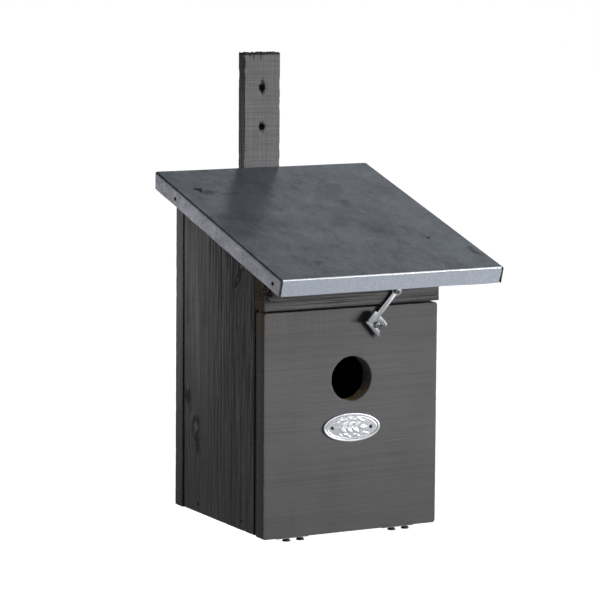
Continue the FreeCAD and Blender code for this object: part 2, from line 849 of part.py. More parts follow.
# Oval plate with a raised rim, a little askew on the door
layers = []
for name, shrink, start in (("plate_disc", "0", "0"), ("plate_field", "plate_rim_width", "plate_thick")):
    oval = doc.addObject("Part::Ellipse", name + "_outline")
    bind(oval, MajorRadius=f"plate_length / 2 - {shrink}", MinorRadius=f"plate_height / 2 - {shrink}")
    place(oval, axis=V(0, 0, 1), angle="-plate_tilt")
    layer = doc.addObject("Part::Extrusion", name)
    layer.Base = oval
    layer.DirMode = "Custom"
    layer.Dir = V(0, 0, 1)
    layer.Solid = True
    bind(layer, LengthFwd="plate_thick + plate_rim_rise")
    layers.append(place(layer, z=start))
rimmed = place(cut("oval_plate_blank", *layers), 0, "door_face", "plate_height_mid", turn=OUTWARD["front"])
node(cut("oval_plate", rimmed, plate_pin_bores), "oval_plate")

doc.recompute()
for thing in doc.Objects:
    if {"Invalid", "Error"} & set(thing.State):
        raise RuntimeError(f"{thing.Label} failed: {thing.State}")
os.makedirs("parts", exist_ok=True)
for thing in NODES:
    if thing.Shape.isNull() or not thing.Shape.isValid():
        raise RuntimeError(f"{thing.Label} has no valid shape")
    thing.Shape.exportStep(f"parts/{thing.Label}.step")
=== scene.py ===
"""Looks of a wooden nest box with a fold-down front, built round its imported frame."""

import json
import math

import bmesh
import bpy
from mathutils import Matrix, Vector, noise


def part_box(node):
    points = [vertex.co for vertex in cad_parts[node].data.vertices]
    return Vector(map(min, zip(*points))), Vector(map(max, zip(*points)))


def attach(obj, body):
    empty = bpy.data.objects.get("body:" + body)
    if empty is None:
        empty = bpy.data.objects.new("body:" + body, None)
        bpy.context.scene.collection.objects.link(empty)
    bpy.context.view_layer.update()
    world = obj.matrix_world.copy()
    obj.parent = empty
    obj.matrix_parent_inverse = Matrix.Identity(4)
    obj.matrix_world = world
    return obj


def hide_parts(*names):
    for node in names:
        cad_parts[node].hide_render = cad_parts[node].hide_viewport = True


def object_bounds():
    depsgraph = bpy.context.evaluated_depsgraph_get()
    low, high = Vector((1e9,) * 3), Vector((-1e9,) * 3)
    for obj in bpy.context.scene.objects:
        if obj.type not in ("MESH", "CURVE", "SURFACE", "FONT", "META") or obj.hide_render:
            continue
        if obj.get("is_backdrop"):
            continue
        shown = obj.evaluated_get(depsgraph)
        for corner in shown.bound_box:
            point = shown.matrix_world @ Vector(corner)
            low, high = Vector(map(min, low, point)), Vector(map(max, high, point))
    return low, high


bl_info = {
    "name": "Nest Box",
    "version": (1, 0, 0),
    "blender": (4, 5, 0),
    "location": "View3D > Sidebar > Nest Box",
    "description": "Boards, roof sheet, hook, plate and fasteners of a nest box, with their finishes",
    "category": "Object",
}

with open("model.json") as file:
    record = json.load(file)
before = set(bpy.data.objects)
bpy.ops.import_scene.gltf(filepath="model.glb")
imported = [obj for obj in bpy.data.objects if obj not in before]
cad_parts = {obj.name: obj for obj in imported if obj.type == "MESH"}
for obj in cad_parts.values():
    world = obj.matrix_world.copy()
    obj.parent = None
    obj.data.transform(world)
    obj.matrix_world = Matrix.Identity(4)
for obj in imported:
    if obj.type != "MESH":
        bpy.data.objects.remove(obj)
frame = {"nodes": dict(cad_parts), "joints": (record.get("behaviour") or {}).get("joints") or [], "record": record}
CAD_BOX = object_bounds()

MM = 0.001
AXES = {"X": 0, "Y": 1, "Z": 2}
SIDES = (-1.0, 1.0)
FRONT, REAR, DOWN = (0.0, -1.0, 0.0), (0.0, 1.0, 0.0), (0.0, 0.0, -1.0)
SLOT_COLOURS = {entry["slot"]: entry["base_color"] for entry in frame["record"]["materials"]}

# Places that come from the frame
DOOR_LOW, DOOR_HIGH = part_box("front_door")
SIDE_LOW, SIDE_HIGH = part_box("left_side")
BATTEN_LOW, BATTEN_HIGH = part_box("hanging_batten")
RAIL_LOW, RAIL_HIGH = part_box("front_rail")
HALF_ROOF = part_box("roof_sheet")[1].x
SIDE_FRONT_TOP = max(
    corner.co.z
    for corner in frame["nodes"]["left_side"].data.vertices
    if abs(corner.co.y - SIDE_LOW.y) < 1e-5
)
SLOPE = math.atan2(SIDE_HIGH.z - SIDE_FRONT_TOP, SIDE_HIGH.y - SIDE_LOW.y)

# The roof frame: u runs across, v up the slope from the front upper edge, w square to the sheet.
EAVE = 59.2 * MM
ROOF_COVER = 11.6 * MM
ROOF_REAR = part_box("roof_sheet")[1].y
ROOF_FRONT = DOOR_LOW.y - EAVE
ROOF_EDGE = (
    SIDE_FRONT_TOP
    - (SIDE_LOW.y - ROOF_FRONT) * math.tan(SLOPE)
    + ROOF_COVER / math.cos(SLOPE)
)

# Entrance, hanging holes, plate and latch
ENTRANCE_RADIUS = 16.0 * MM
ENTRANCE_HEIGHT = DOOR_LOW.z + 109.3 * MM
HANGING_RADIUS = 2.6 * MM
HANGING_HEIGHTS = (BATTEN_HIGH.z - 25.7 * MM, BATTEN_HIGH.z - 54.4 * MM)
PLATE_HEIGHT = sum(corner.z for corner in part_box("oval_plate")) / 2
PLATE_TILT = math.radians(-2.0)
LATCH_PIVOT = Vector(next(j["pos_m"] for j in frame["joints"] if j["name"] == "latch_pivot"))
KEEPER = Vector((18.0 * MM, LATCH_PIVOT.y, DOOR_HIGH.z - 12.8 * MM))
LATCH_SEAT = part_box("latch_pivot_screw")[0].y + 1.5 * MM

# Dull spots on the roof: x, y, half sizes along x and y in millimetres, and depth.
STAINS = (
    (58.5, -48.4, 0.9, 2.2, 1.2),
    (79.3, -43.8, 0.6, 0.9, 0.5),
    (81.0, -74.5, 3.0, 8.0, 0.42),
    (-71.0, 55.0, 3.4, 3.4, 0.85),
    (-66.0, 50.0, 8.0, 4.0, 0.4),
    (-50.0, 46.0, 9.0, 2.0, 0.28),
    (-20.5, 38.0, 2.0, 1.6, 0.4),
    (-9.6, 36.9, 2.4, 1.4, 0.35),
    (-46.0, -77.0, 3.0, 3.5, 0.35),
    (53.0, -33.0, 5.0, 7.0, 0.12),
    (30.0, 22.0, 3.0, 2.5, 0.3),
)


def roof_point(u, v, w):
    """A point of the roof frame, in the frame of the whole box."""
    y = ROOF_FRONT + v * math.cos(SLOPE) - w * math.sin(SLOPE)
    z = ROOF_EDGE + v * math.sin(SLOPE) + w * math.cos(SLOPE)
    return Vector((u, y, z))


def roof_length(w):
    """How far up the slope the upright rear cut lies, at a height over the sheet."""
    return (ROOF_REAR - ROOF_FRONT + w * math.sin(SLOPE)) / math.cos(SLOPE)


def clamp(value):
    return max(0.0, min(1.0, value))


class Value:
    """A shader socket that takes part in Python expressions, which add its Math nodes."""

    def __init__(self, recipe, socket):
        self.recipe = recipe
        self.socket = socket

    def math(self, operation, *values):
        return self.recipe.math(operation, self, *values)

    def __add__(self, other):
        return self.recipe.math("ADD", self, other)

    def __radd__(self, other):
        return self.recipe.math("ADD", other, self)

    def __sub__(self, other):
        return self.recipe.math("SUBTRACT", self, other)

    def __rsub__(self, other):
        return self.recipe.math("SUBTRACT", other, self)

    def __mul__(self, other):
        return self.recipe.math("MULTIPLY", self, other)

    def __rmul__(self, other):
        return self.recipe.math("MULTIPLY", other, self)

    def __truediv__(self, other):
        return self.recipe.math("DIVIDE", self, other)

    def __rtruediv__(self, other):
        return self.recipe.math("DIVIDE", other, self)

    def __pow__(self, other):
        return self.recipe.math("POWER", self, other)

    def __neg__(self):
        return self.recipe.math("MULTIPLY", self, -1.0)


class Recipe:
    """The node tree of one finish, of the floor or of the world."""

    def __init__(self, owner):
        owner.use_nodes = True
        self.owner = owner
        self.tree = owner.node_tree
        self.tree.nodes.clear()

    def add(self, kind, settings=None, sockets=None, output=0):
        """Adds a node, sets its settings, then its sockets, and returns one output."""
        node = self.tree.nodes.new(kind)
        for key, setting in (settings or {}).items():
            if key == "stops":
                self.set_stops(node.color_ramp, setting)
            else:
                setattr(node, key, setting)
        for key, value in (sockets or {}).items():
            if isinstance(value, Value):
                self.tree.links.new(value.socket, node.inputs[key])
            else:
                node.inputs[key].default_value = value
        return Value(self, node.outputs[output]) if node.outputs else None

    @staticmethod
    def set_stops(ramp, stops):
        while len(ramp.elements) < len(stops):
            ramp.elements.new(1.0)
        for element, (place, colour) in zip(ramp.elements, stops):
            element.position = place
            element.color = rgba(colour)

    def math(self, operation, *values):
        return self.add("ShaderNodeMath", {"operation": operation}, dict(enumerate(values)))

    def place(self):
        """Where a point lies in the piece, in metres."""
        return self.add("ShaderNodeTexCoord", output="Object")

    def split(self, vector):
        node = self.add("ShaderNodeSeparateXYZ", None, {0: vector}).socket.node
        return [Value(self, socket) for socket in node.outputs]

    def scale(self, colour, amount):
        """A colour made lighter or darker."""
        sockets = {0: colour, "Scale": amount}
        return self.add("ShaderNodeVectorMath", {"operation": "SCALE"}, sockets)

    def noise(self, place, waves, detail, rough=0.5, bend=0.0, shift=(0.0, 0.0, 0.0)):
        """Noise from 0 to 1, with so many waves to the metre along each axis."""
        settings = {"operation": "MULTIPLY_ADD"}
        spot = self.add("ShaderNodeVectorMath", settings, {0: place, 1: waves, 2: shift})
        sockets = {"Vector": spot, "Scale": 1.0, "Detail": detail, "Roughness": rough, "Distortion": bend}
        return self.add("ShaderNodeTexNoise", None, sockets)

    def ripple(self, *settings, **more):
        """Noise with its middle at 0."""
        return self.noise(*settings, **more) - 0.5

    def step(self, value, low, high):
        """Goes smoothly from 0 to 1 while a value goes from low to high."""
        settings = {"interpolation_type": "SMOOTHSTEP"}
        return self.add("ShaderNodeMapRange", settings, {0: value, 1: low, 2: high})

    def mix(self, share, first, second):
        settings = {"data_type": "RGBA", "blend_type": "MIX"}
        return self.add("ShaderNodeMix", settings, {0: share, 6: first, 7: second}, output=2)

    def tag(self, name):
        """A value that the mesh carries at its points."""
        return self.add("ShaderNodeAttribute", {"attribute_name": name}, output="Fac")

    def bump(self, height):
        return self.add("ShaderNodeBump", None, {"Height": height, "Strength": 1.0, "Distance": MM})

    def surface(self, **sockets):
        """The finished shader, with socket names written with underscores."""
        named = {key.replace("_", " "): value for key, value in sockets.items()}
        named["Specular IOR Level"] = named.pop("Specular")
        shader = self.add("ShaderNodeBsdfPrincipled", None, named)
        self.add("ShaderNodeOutputMaterial", None, {"Surface": shader})
        return self.owner


def rgba(colour):
    return (*colour, 1.0)


def new_finish(name):
    return Recipe(bpy.data.materials.new(name))


def painted_wood(name, grain="Z", contrast=1.0, fine=1.0, tone=1.0, saw=0.0, knots=(), seams=(),
                 flecks=0.0, lively=None, brown=None, bare=None, bare_tone=1.0):
    """Matte paint over sawn softwood, with its grain along one axis and saw marks across it.

    Knots are given as y, z, half width and half height in millimetres, lean, darkness of ring
    and of core; seams as axis, middle, half width in millimetres, darkness and where on the
    board they lie: all over it, on the rim of its ends or along its front. Seams draw faint lines,
    and also painted shade in the joints and gaps between boards and where a face gets less light.
    saw is the depth of the saw marks. lively works out where the grain stands out most, brown
    where the paint is thin and bare where wood shows.
    """
    wood = bpy.context.scene.nest_box_wood
    recipe = new_finish(name)
    place = recipe.place()
    x, y, z = recipe.split(place)
    shade = 1.0
    bent = place
    if knots:
        # The grain runs round the knots.
        across = y
        ragged = recipe.ripple(place, (420.0, 420.0, 210.0), 4.0, 0.65)
        broken = recipe.noise(place, (230.0, 230.0, 170.0), 3.0, 0.6, shift=(3.0, 1.0, 8.0))
        broken = 0.35 + recipe.step(broken, 0.4, 0.6) * 0.65
        for *sizes, lean, dark_ring, dark_core in knots:
            knot_y, knot_z, half_width, half_height = (size * MM for size in sizes)
            off_z = z - knot_z
            off_y = y - knot_y - off_z * lean
            far = ((off_y / half_width) ** 2.0 + (off_z / half_height) ** 2.0) ** 0.5
            across = across - off_y * (far * far * -0.3).math("EXPONENT") * 0.75
            far = far + ragged * 0.9
            ring = ((far - 1.0) * (far - 1.0) * -6.0).math("EXPONENT")
            core = 1.0 - recipe.step(far, 0.3, 1.15)
            shade = shade - ring * broken * dark_ring - core * dark_core
        bent = recipe.add("ShaderNodeCombineXYZ", None, {0: x, 1: across, 2: z})

    def along(fine, coarse):
        waves = [fine] * 3
        waves[AXES[grain]] = coarse
        return waves

    cloud = recipe.ripple(place, (24.0,) * 3, 3.0, 0.55)
    bands = recipe.ripple(bent, along(430.0 * fine, 4.5 * fine), 3.0, 0.65)
    fibre = recipe.ripple(bent, along(1200.0 * fine, 17.0), 4.0, 0.7, shift=(7.0,) * 3)
    share = lively(recipe, x, y, z) * contrast if lively else contrast
    veins = recipe.step(bands, 0.04, 0.14)
    shade = shade + (bands * 0.5 + fibre - veins * 0.1) * share + cloud * 0.3
    height = (bands * 0.32 + fibre * 0.22) * share
    if saw:
        lines = recipe.ripple(place, along(9.0, 760.0), 3.0, 0.6, 0.3)
        ticks = recipe.ripple(place, along(60.0, 1500.0), 3.0, 0.6, shift=(3.0,) * 3)
        shade = shade + lines * (0.42 * saw) + ticks * (0.3 * saw)
        height = height + lines * (0.2 * saw) + ticks * (0.12 * saw)
    if seams:
        fray = recipe.ripple(place, (700.0,) * 3, 3.0, 0.7)
    # Seams draw faint lines, and painted shade in joints, gaps and on faces that get less light.
    for axis, middle, half, depth, where in seams:
        half = half * MM
        gap = ((x, y, z)[AXES[axis]] - middle).math("ABSOLUTE") + fray * min(half, 1.5 * MM)
        dark = (1.0 - recipe.step(gap, 0.5 * half, 0.9 * half)) * depth
        if where == "rim":
            edge = DOOR_HIGH.x
            dark = dark * recipe.step(x.math("ABSOLUTE"), edge - 3.0 * MM, edge - 1.5 * MM)
        if where == "front":
            dark = dark * (1.0 - recipe.step(y, DOOR_LOW.y + 3.0 * MM, DOOR_LOW.y + 6.0 * MM))
        shade = shade * (1.0 - dark)
    worn = recipe.step(recipe.noise(place, (420.0,) * 3, 3.0, 0.65), 0.5, 0.68) * recipe.tag("edge")
    colour = recipe.scale([tone * part for part in wood.paint], shade.math("MAXIMUM", 0.1))
    # Brown wood where the paint is thin, along worn edges and where tools tore the surface
    thin = worn * 0.6
    if flecks:
        streak = recipe.noise(bent, along(700.0, 16.0), 3.0, 0.6, shift=(31.0,) * 3)
        thin = thin + recipe.step(streak, 0.56, 0.72) * flecks
    if brown:
        thin = thin + brown(recipe, x, y, z) * (0.55 + fibre)
    colour = recipe.mix(thin.math("MINIMUM", 1.0), colour, rgba(wood.thin))
    if bare:
        raw = bare(recipe, x, y, z)
        fresh = recipe.noise(bent, along(900.0, 60.0), 4.0, 0.75, shift=(11.0,) * 3)
        wooden = [bare_tone * part for part in wood.bare]
        wooden = recipe.scale(wooden, recipe.step(fresh, 0.36, 0.66) * 0.9 + 0.12)
        colour = recipe.mix(raw, colour, wooden)
        height = height + raw * (fresh - 0.5) * 0.8
    return recipe.surface(
        Base_Color=colour,
        Roughness=0.82 + fibre * 0.25,
        Specular=0.14,
        Normal=recipe.bump(height),
    )


def zinc_sheet(name):
    """Satin galvanised sheet, dark on top and lighter on its aprons. The colour by facing is partly weathering of
    the top and partly painted light: each face's colour also stands in for how it is lit and what it reflects.
    """
    metal = bpy.context.scene.nest_box_metal
    recipe = new_finish(name)
    place = recipe.place()
    x, y, z = recipe.split(place)
    dull, crease, bright = (recipe.tag(tag) for tag in ("dull", "crease", "bright"))
    cloud = recipe.ripple(place, (17.0, 13.0, 30.0), 4.0, 0.55, 0.6)
    smear = recipe.ripple(place, (190.0, 90.0, 150.0), 4.0, 0.65, shift=(5.0, 0.0, 2.0))
    spangle = recipe.ripple(place, (380.0, 200.0, 300.0), 4.0, 0.7)
    speck = recipe.ripple(place, (1100.0,) * 3, 2.0, 0.6)
    mottle = recipe.ripple(place, (80.0, 40.0, 90.0), 4.0, 0.6, shift=(1.0, 7.0, 4.0))
    patchy = cloud * 0.9 + mottle * 0.7 + smear * 0.4
    shade = 1.0 + patchy * (0.15 + dull * 0.85) + speck * 0.6
    shade = shade + spangle * (0.4 + dull * 2.3 - dull * dull * 2.0)
    # Painted light: the top darkens towards the left as a painted reflection, and the side bends get painted
    # shade.
    shade = shade + x * dull * 1.6 - crease * 0.5
    # The side aprons, where dull is a half, get painted shade: darker towards the rear, and dark at their cut
    # ends, where shadow falls.
    apron = dull * (1.0 - dull)
    shade = shade - apron * recipe.step(y, 20.0 * MM, 95.0 * MM)
    up_slope = (y - ROOF_FRONT) * math.cos(SLOPE) + (z - ROOF_EDGE) * math.sin(SLOPE)
    stains_and_shade = apron * 3.6 * (1.0 - recipe.step(up_slope, 0.3 * MM, 0.9 * MM))
    for stain_x, stain_y, half_x, half_y, depth in STAINS:
        off_x = (x - stain_x * MM) / (half_x * MM)
        off_y = (y - stain_y * MM) / (half_y * MM)
        ragged = min(1.0, half_x / 3.0) ** 2
        far = off_x * off_x + off_y * off_y + (smear * 4.0 + spangle * 2.0) * ragged
        stains_and_shade = stains_and_shade + (1.0 - recipe.step(far, 0.2, 1.6)) * dull * depth
    # Real stains and the painted shade at the cut ends dull the colour and the gloss.
    unstained_unshaded = 1.0 - stains_and_shade.math("MINIMUM", 1.0) * 0.9
    shade = (shade * unstained_unshaded).math("MAXIMUM", 0.08)
    # Less gloss along the side bends keeps them dark: painted shade.
    gloss = (1.0 + (patchy * 0.9 + spangle * 0.6) * dull) * unstained_unshaded * (1.0 - crease * 0.95)
    metallic = 0.26 + (dull * 2.0 - 1.0).math("MAXIMUM", 0.0) * 0.13
    # Colours by facing, partly painted light: the side aprons are lighter than the front apron to make up for the
    # light they lack.
    stops = [(0.0, metal.apron), (0.5, metal.side_apron), (1.0, metal.top)]
    colour = recipe.scale(recipe.add("ShaderNodeValToRGB", {"stops": stops}, {0: dull}), shade)
    # The bright line along the front bend is a painted highlight, in colour and metallic.
    return recipe.surface(
        Base_Color=recipe.mix(bright, colour, rgba(metal.bend)),
        Metallic=gloss * metallic + bright * 0.6,
        Roughness=0.28 + (cloud * 0.12 + smear * 0.06) * dull,
        Specular=0.0,
        Normal=recipe.bump(speck * (1.0 - bright) * 0.006),
    )


def plated_steel(name, colour, rough, metallic, wear, low=1.0):
    """Zinc-plated or bright steel with fine rolling lines and dull patches.

    low is how bright the metal stays where it isn't raised, for a mesh that says where it is.
    """
    recipe = new_finish(name)
    place = recipe.place()
    rolled = recipe.ripple(place, (1500.0, 1500.0, 130.0), 3.0, 0.6)
    patch = recipe.ripple(place, (190.0,) * 3, 3.0, 0.6, shift=(4.0, 9.0, 1.0))
    shade = 1.0 + rolled * 0.25 + patch * (2.0 * wear)
    if low < 1.0:
        shade = shade * (low + recipe.tag("raised") * (1.0 - low))
    return recipe.surface(
        Base_Color=recipe.scale(colour, shade),
        Metallic=metallic,
        Roughness=rough + patch * (0.8 * wear),
        Specular=0.3,
        Normal=recipe.bump(rolled * 0.02),
    )


def fastener_steel(name, tone=1.0, metallic=0.7, shine=0.15):
    """Dull steel with specks of rust."""
    metal = bpy.context.scene.nest_box_metal
    recipe = new_finish(name)
    place = recipe.place()
    grit = recipe.noise(place, (900.0,) * 3, 3.0, 0.7)
    patch = recipe.noise(place, (330.0,) * 3, 3.0, 0.6, shift=(2.0, 6.0, 4.0))
    rust = recipe.step(patch, 0.54, 0.7)
    colour = recipe.scale([tone * part for part in metal.fastener], 0.7 + grit * 0.6)
    return recipe.surface(
        Base_Color=recipe.mix(rust * 0.7, colour, rgba(metal.rust)),
        Metallic=metallic * (1.0 - rust * 0.7),
        Roughness=0.4 + rust * 0.35 + (grit - 0.5) * 0.2,
        Specular=shine,
        Normal=recipe.bump((grit - 0.5) * 0.05),
    )


class Shape:
    """The points and faces of a piece while it is being made."""

    def __init__(self, points=(), faces=()):
        self.points = list(points)
        self.faces = list(faces)

    def skin(self, rows, closed=False, ends=False, move=None):
        """Quads between rows of points that run round a ring; ends closes the first and last row."""
        start, count = len(self.points), len(rows[0])
        points = [point for row in rows for point in row]
        faces = []
        for row in range(len(rows) if closed else len(rows) - 1):
            here, there = row * count, (row + 1) % len(rows) * count
            for column in range(count):
                after = (column + 1) % count
                faces.append([here + column, here + after, there + after, there + column])
        for row in (0, len(rows) - 1) if ends else ():
            middle = len(points)
            points.append(sum(rows[row], Vector()) / count)
            for column in range(count):
                faces.append([row * count + column, row * count + (column + 1) % count, middle])
        self.points += [move @ point if move else point for point in points]
        self.faces += [[start + corner for corner in face] for face in faces]


def finish_piece(name, shape, finish, body, node, sharp=38.0, closed=True):
    """Makes an object of a shape, lets it ride on its body and stand for its CAD node."""
    mesh = bpy.data.meshes.new(name)
    mesh.from_pydata(shape.points, [], shape.faces)
    work = bmesh.new()
    work.from_mesh(mesh)
    bmesh.ops.remove_doubles(work, verts=work.verts, dist=1e-7)
    if closed:
        bmesh.ops.recalc_face_normals(work, faces=work.faces)
    work.to_mesh(mesh)
    work.free()
    return finish_mesh(name, mesh, finish, body, node, sharp)


def finish_mesh(name, mesh, finish, body, node, sharp):
    mesh.polygons.foreach_set("use_smooth", [True] * len(mesh.polygons))
    mesh.set_sharp_from_angle(angle=math.radians(sharp))
    mesh.materials.clear()
    mesh.materials.append(finish)
    made = bpy.data.objects.new(name, mesh)
    bpy.context.scene.collection.objects.link(made)
    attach(made, body)
    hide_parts(node)
    return made


def set_tag(made, name, worth):
    """Writes a value at each point of a piece, for its finish."""
    layer = made.data.attributes.new(name, "FLOAT", "POINT")
    layer.data.foreach_set("value", [worth(corner) for corner in made.data.vertices])


def edge_closeness(low, high, top=None, hole=None):
    """A function that is 1 at the edges of a board and 0 further in."""

    def worth(point):
        gaps = [point.x - low.x, high.x - point.x, point.y - low.y, high.y - point.y, point.z - low.z]
        gaps.append((top(point.y) if top else high.z) - point.z)
        if hole:
            gaps.append(abs(math.hypot(point.x - hole[0], point.z - hole[1]) - hole[2]))
        return math.exp(-max(0.0, sorted(gaps)[1]) / (1.3 * MM))

    return worth


def ruler(length, ease, step):
    """Places along a board's edge: close over its eased ends, evenly spaced between them."""
    ends = [ease * (1 - math.tan(math.radians(angle))) for angle in (45, 30, 15)]
    count = max(1, round((length - 2 * ease) / step))
    middle = [ease + (length - 2 * ease) * number / count for number in range(count + 1)]
    return ends + middle + [length - end for end in reversed(ends)]


def rounded_block(size, ease, steps):
    """Points, outward directions and faces of a block with eased edges."""
    ticks = [ruler(length, ease, step * MM) for length, step in zip(size, steps)]
    last = [len(places) - 1 for places in ticks]
    index, points, outward, faces = {}, [], [], []
    for i, x in enumerate(ticks[0]):
        for j, y in enumerate(ticks[1]):
            inside = 0 < i < last[0] and 0 < j < last[1]
            for k in (0, last[2]) if inside else range(last[2] + 1):
                spot = Vector((x, y, ticks[2][k]))
                core = Vector(min(max(spot[a], ease), size[a] - ease) for a in range(3))
                direction = (spot - core).normalized()
                index[i, j, k] = len(points)
                points.append(core + direction * ease)
                outward.append(direction)
    for axis in range(3):
        b, c = (axis + 1) % 3, (axis + 2) % 3
        for side in (0, last[axis]):
            for p in range(last[b]):
                for q in range(last[c]):
                    ring = [(p, q), (p + 1, q), (p + 1, q + 1), (p, q + 1)]
                    face = []
                    for s, t in ring if side else reversed(ring):
                        key = {axis: side, b: s, c: t}
                        face.append(index[key[0], key[1], key[2]])
                    faces.append(face)
    return points, outward, faces


def sawn_height(spot, grain, depth, seed):
    """How far sawn wood stands off its plane: ridges along the grain and a slow swell."""
    waves = [420.0] * 3
    waves[AXES[grain]] = 9.0
    shift = Vector((seed, 2.0 * seed, 3.0 * seed))
    ridge = noise.noise(Vector(a * b for a, b in zip(spot, waves)) + shift)
    swell = noise.noise(Vector(a * 25.0 for a in spot) + shift)
    return depth * (0.7 * ridge + 0.6 * swell)


def chip_depth(spot, closeness, seed):
    """How much of a board's edge has broken away."""
    worn = noise.noise(spot * 160.0 + Vector((seed, seed, seed)))
    torn = noise.noise(spot * 650.0 + Vector((seed, 0.0, seed)))
    return closeness * MM * (0.55 * max(0.0, worn - 0.15) + 0.3 * max(0.0, torn - 0.1))


COLOUR = {"subtype": "COLOR", "min": 0.0, "max": 1.0}
SHARE = {"subtype": "FACTOR", "min": 0.0, "max": 1.0}
POWER = {"unit": "POWER", "min": 0.0}


class NestBoxWood(bpy.types.PropertyGroup):
    """Colours and surface of the painted boards."""

    paint: bpy.props.FloatVectorProperty(
        name="Paint",
        description="Colour of the paint on the boards",
        default=SLOT_COLOURS["painted_wood"], **COLOUR,
    )
    thin: bpy.props.FloatVectorProperty(
        name="Thin paint",
        description="Colour where the wood shows through the paint",
        default=(0.105, 0.078, 0.05), **COLOUR,
    )
    bare: bpy.props.FloatVectorProperty(
        name="Bare wood",
        description="Colour of freshly cut wood, in the entrance and the hanging holes",
        default=(0.56, 0.46, 0.3), **COLOUR,
    )
    ease: bpy.props.FloatProperty(
        name="Eased edge",
        description="Radius of the boards' edges",
        default=0.00045, min=0.0002, max=0.002, unit="LENGTH",
    )
    relief: bpy.props.FloatProperty(
        name="Saw relief",
        description="Height of the ridges that the saw left along the grain",
        default=0.00012, min=0.0, max=0.0005, unit="LENGTH",
    )


class NestBoxMetal(bpy.types.PropertyGroup):
    """Colours of the metal pieces and the wave of the roof sheet."""

    # The sheet's colours by facing are partly painted light, and its front bend colour is a painted highlight.
    top: bpy.props.FloatVectorProperty(
        name="Roof",
        description="Colour of the dull upper face of the roof sheet",
        default=(0.101, 0.1145, 0.1345), **COLOUR,
    )
    # A painted highlight along the front bend
    bend: bpy.props.FloatVectorProperty(
        name="Front bend",
        description="Colour of the bright metal along the front bend of the roof sheet",
        default=(0.72, 0.74, 0.77), **COLOUR,
    )
    side_apron: bpy.props.FloatVectorProperty(
        name="Side aprons",
        description="Colour of the sheet's side aprons",
        default=(0.48, 0.486, 0.546), **COLOUR,
    )
    apron: bpy.props.FloatVectorProperty(
        name="Front apron",
        description="Colour of the sheet's front apron",
        default=(0.345, 0.376, 0.428), **COLOUR,
    )
    hook: bpy.props.FloatVectorProperty(
        name="Hook",
        description="Colour of the plated hook and hinges",
        default=(0.143, 0.149, 0.158), **COLOUR,
    )
    plate: bpy.props.FloatVectorProperty(
        name="Plate",
        description="Colour of the bright oval plate",
        default=(0.345, 0.355, 0.375), **COLOUR,
    )
    fastener: bpy.props.FloatVectorProperty(
        name="Fasteners",
        description="Colour of the nails and screws",
        default=(0.035, 0.035, 0.037), **COLOUR,
    )
    rust: bpy.props.FloatVectorProperty(
        name="Rust",
        description="Colour of the rust on nails and screws",
        default=(0.06, 0.035, 0.02), **COLOUR,
    )
    sheet_thick: bpy.props.FloatProperty(
        name="Sheet",
        description="Thickness of the roof sheet",
        default=0.0006, min=0.0003, max=0.001, unit="LENGTH",
    )
    wave: bpy.props.FloatProperty(
        name="Sheet wave",
        description="How far the roof sheet and its aprons are out of true",
        default=0.00025, min=0.0, max=0.001, unit="LENGTH",
    )
    sprig: bpy.props.FloatProperty(
        name="Sprig",
        description="Height of the leaves pressed into the oval plate",
        default=0.00016, min=0.0, max=0.0005, unit="LENGTH",
    )


class NestBoxStage(bpy.types.PropertyGroup):
    """Floor and light."""

    floor: bpy.props.FloatVectorProperty(
        name="Floor",
        description="Colour of the floor",
        default=(0.2, 0.2, 0.2), **COLOUR,
    )
    drop: bpy.props.FloatProperty(
        name="Drop",
        description="How far the box hangs over the floor, so that the open door clears it",
        default=0.085, min=0.0, unit="LENGTH",
    )
    ambient: bpy.props.FloatProperty(
        name="Ambient", description="Level of the light from all round", default=0.2, **SHARE
    )
    key_power: bpy.props.FloatProperty(
        name="Key light",
        description="Power of the soft row of lamps in front, at the right",
        default=2.25, **POWER,
    )
    fill_power: bpy.props.FloatProperty(
        name="Fill light",
        description="Power of the hooded lamp behind, at the left",
        default=0.042, **POWER,
    )
    rear_power: bpy.props.FloatProperty(
        name="Rear light", description="Power of the lamp behind the box", default=6.0, **POWER
    )
    shadow: bpy.props.FloatProperty(
        name="Floor shadow",
        description="How much of the floor's white gives way to its light and shadow",
        default=0.45, **SHARE,
    )


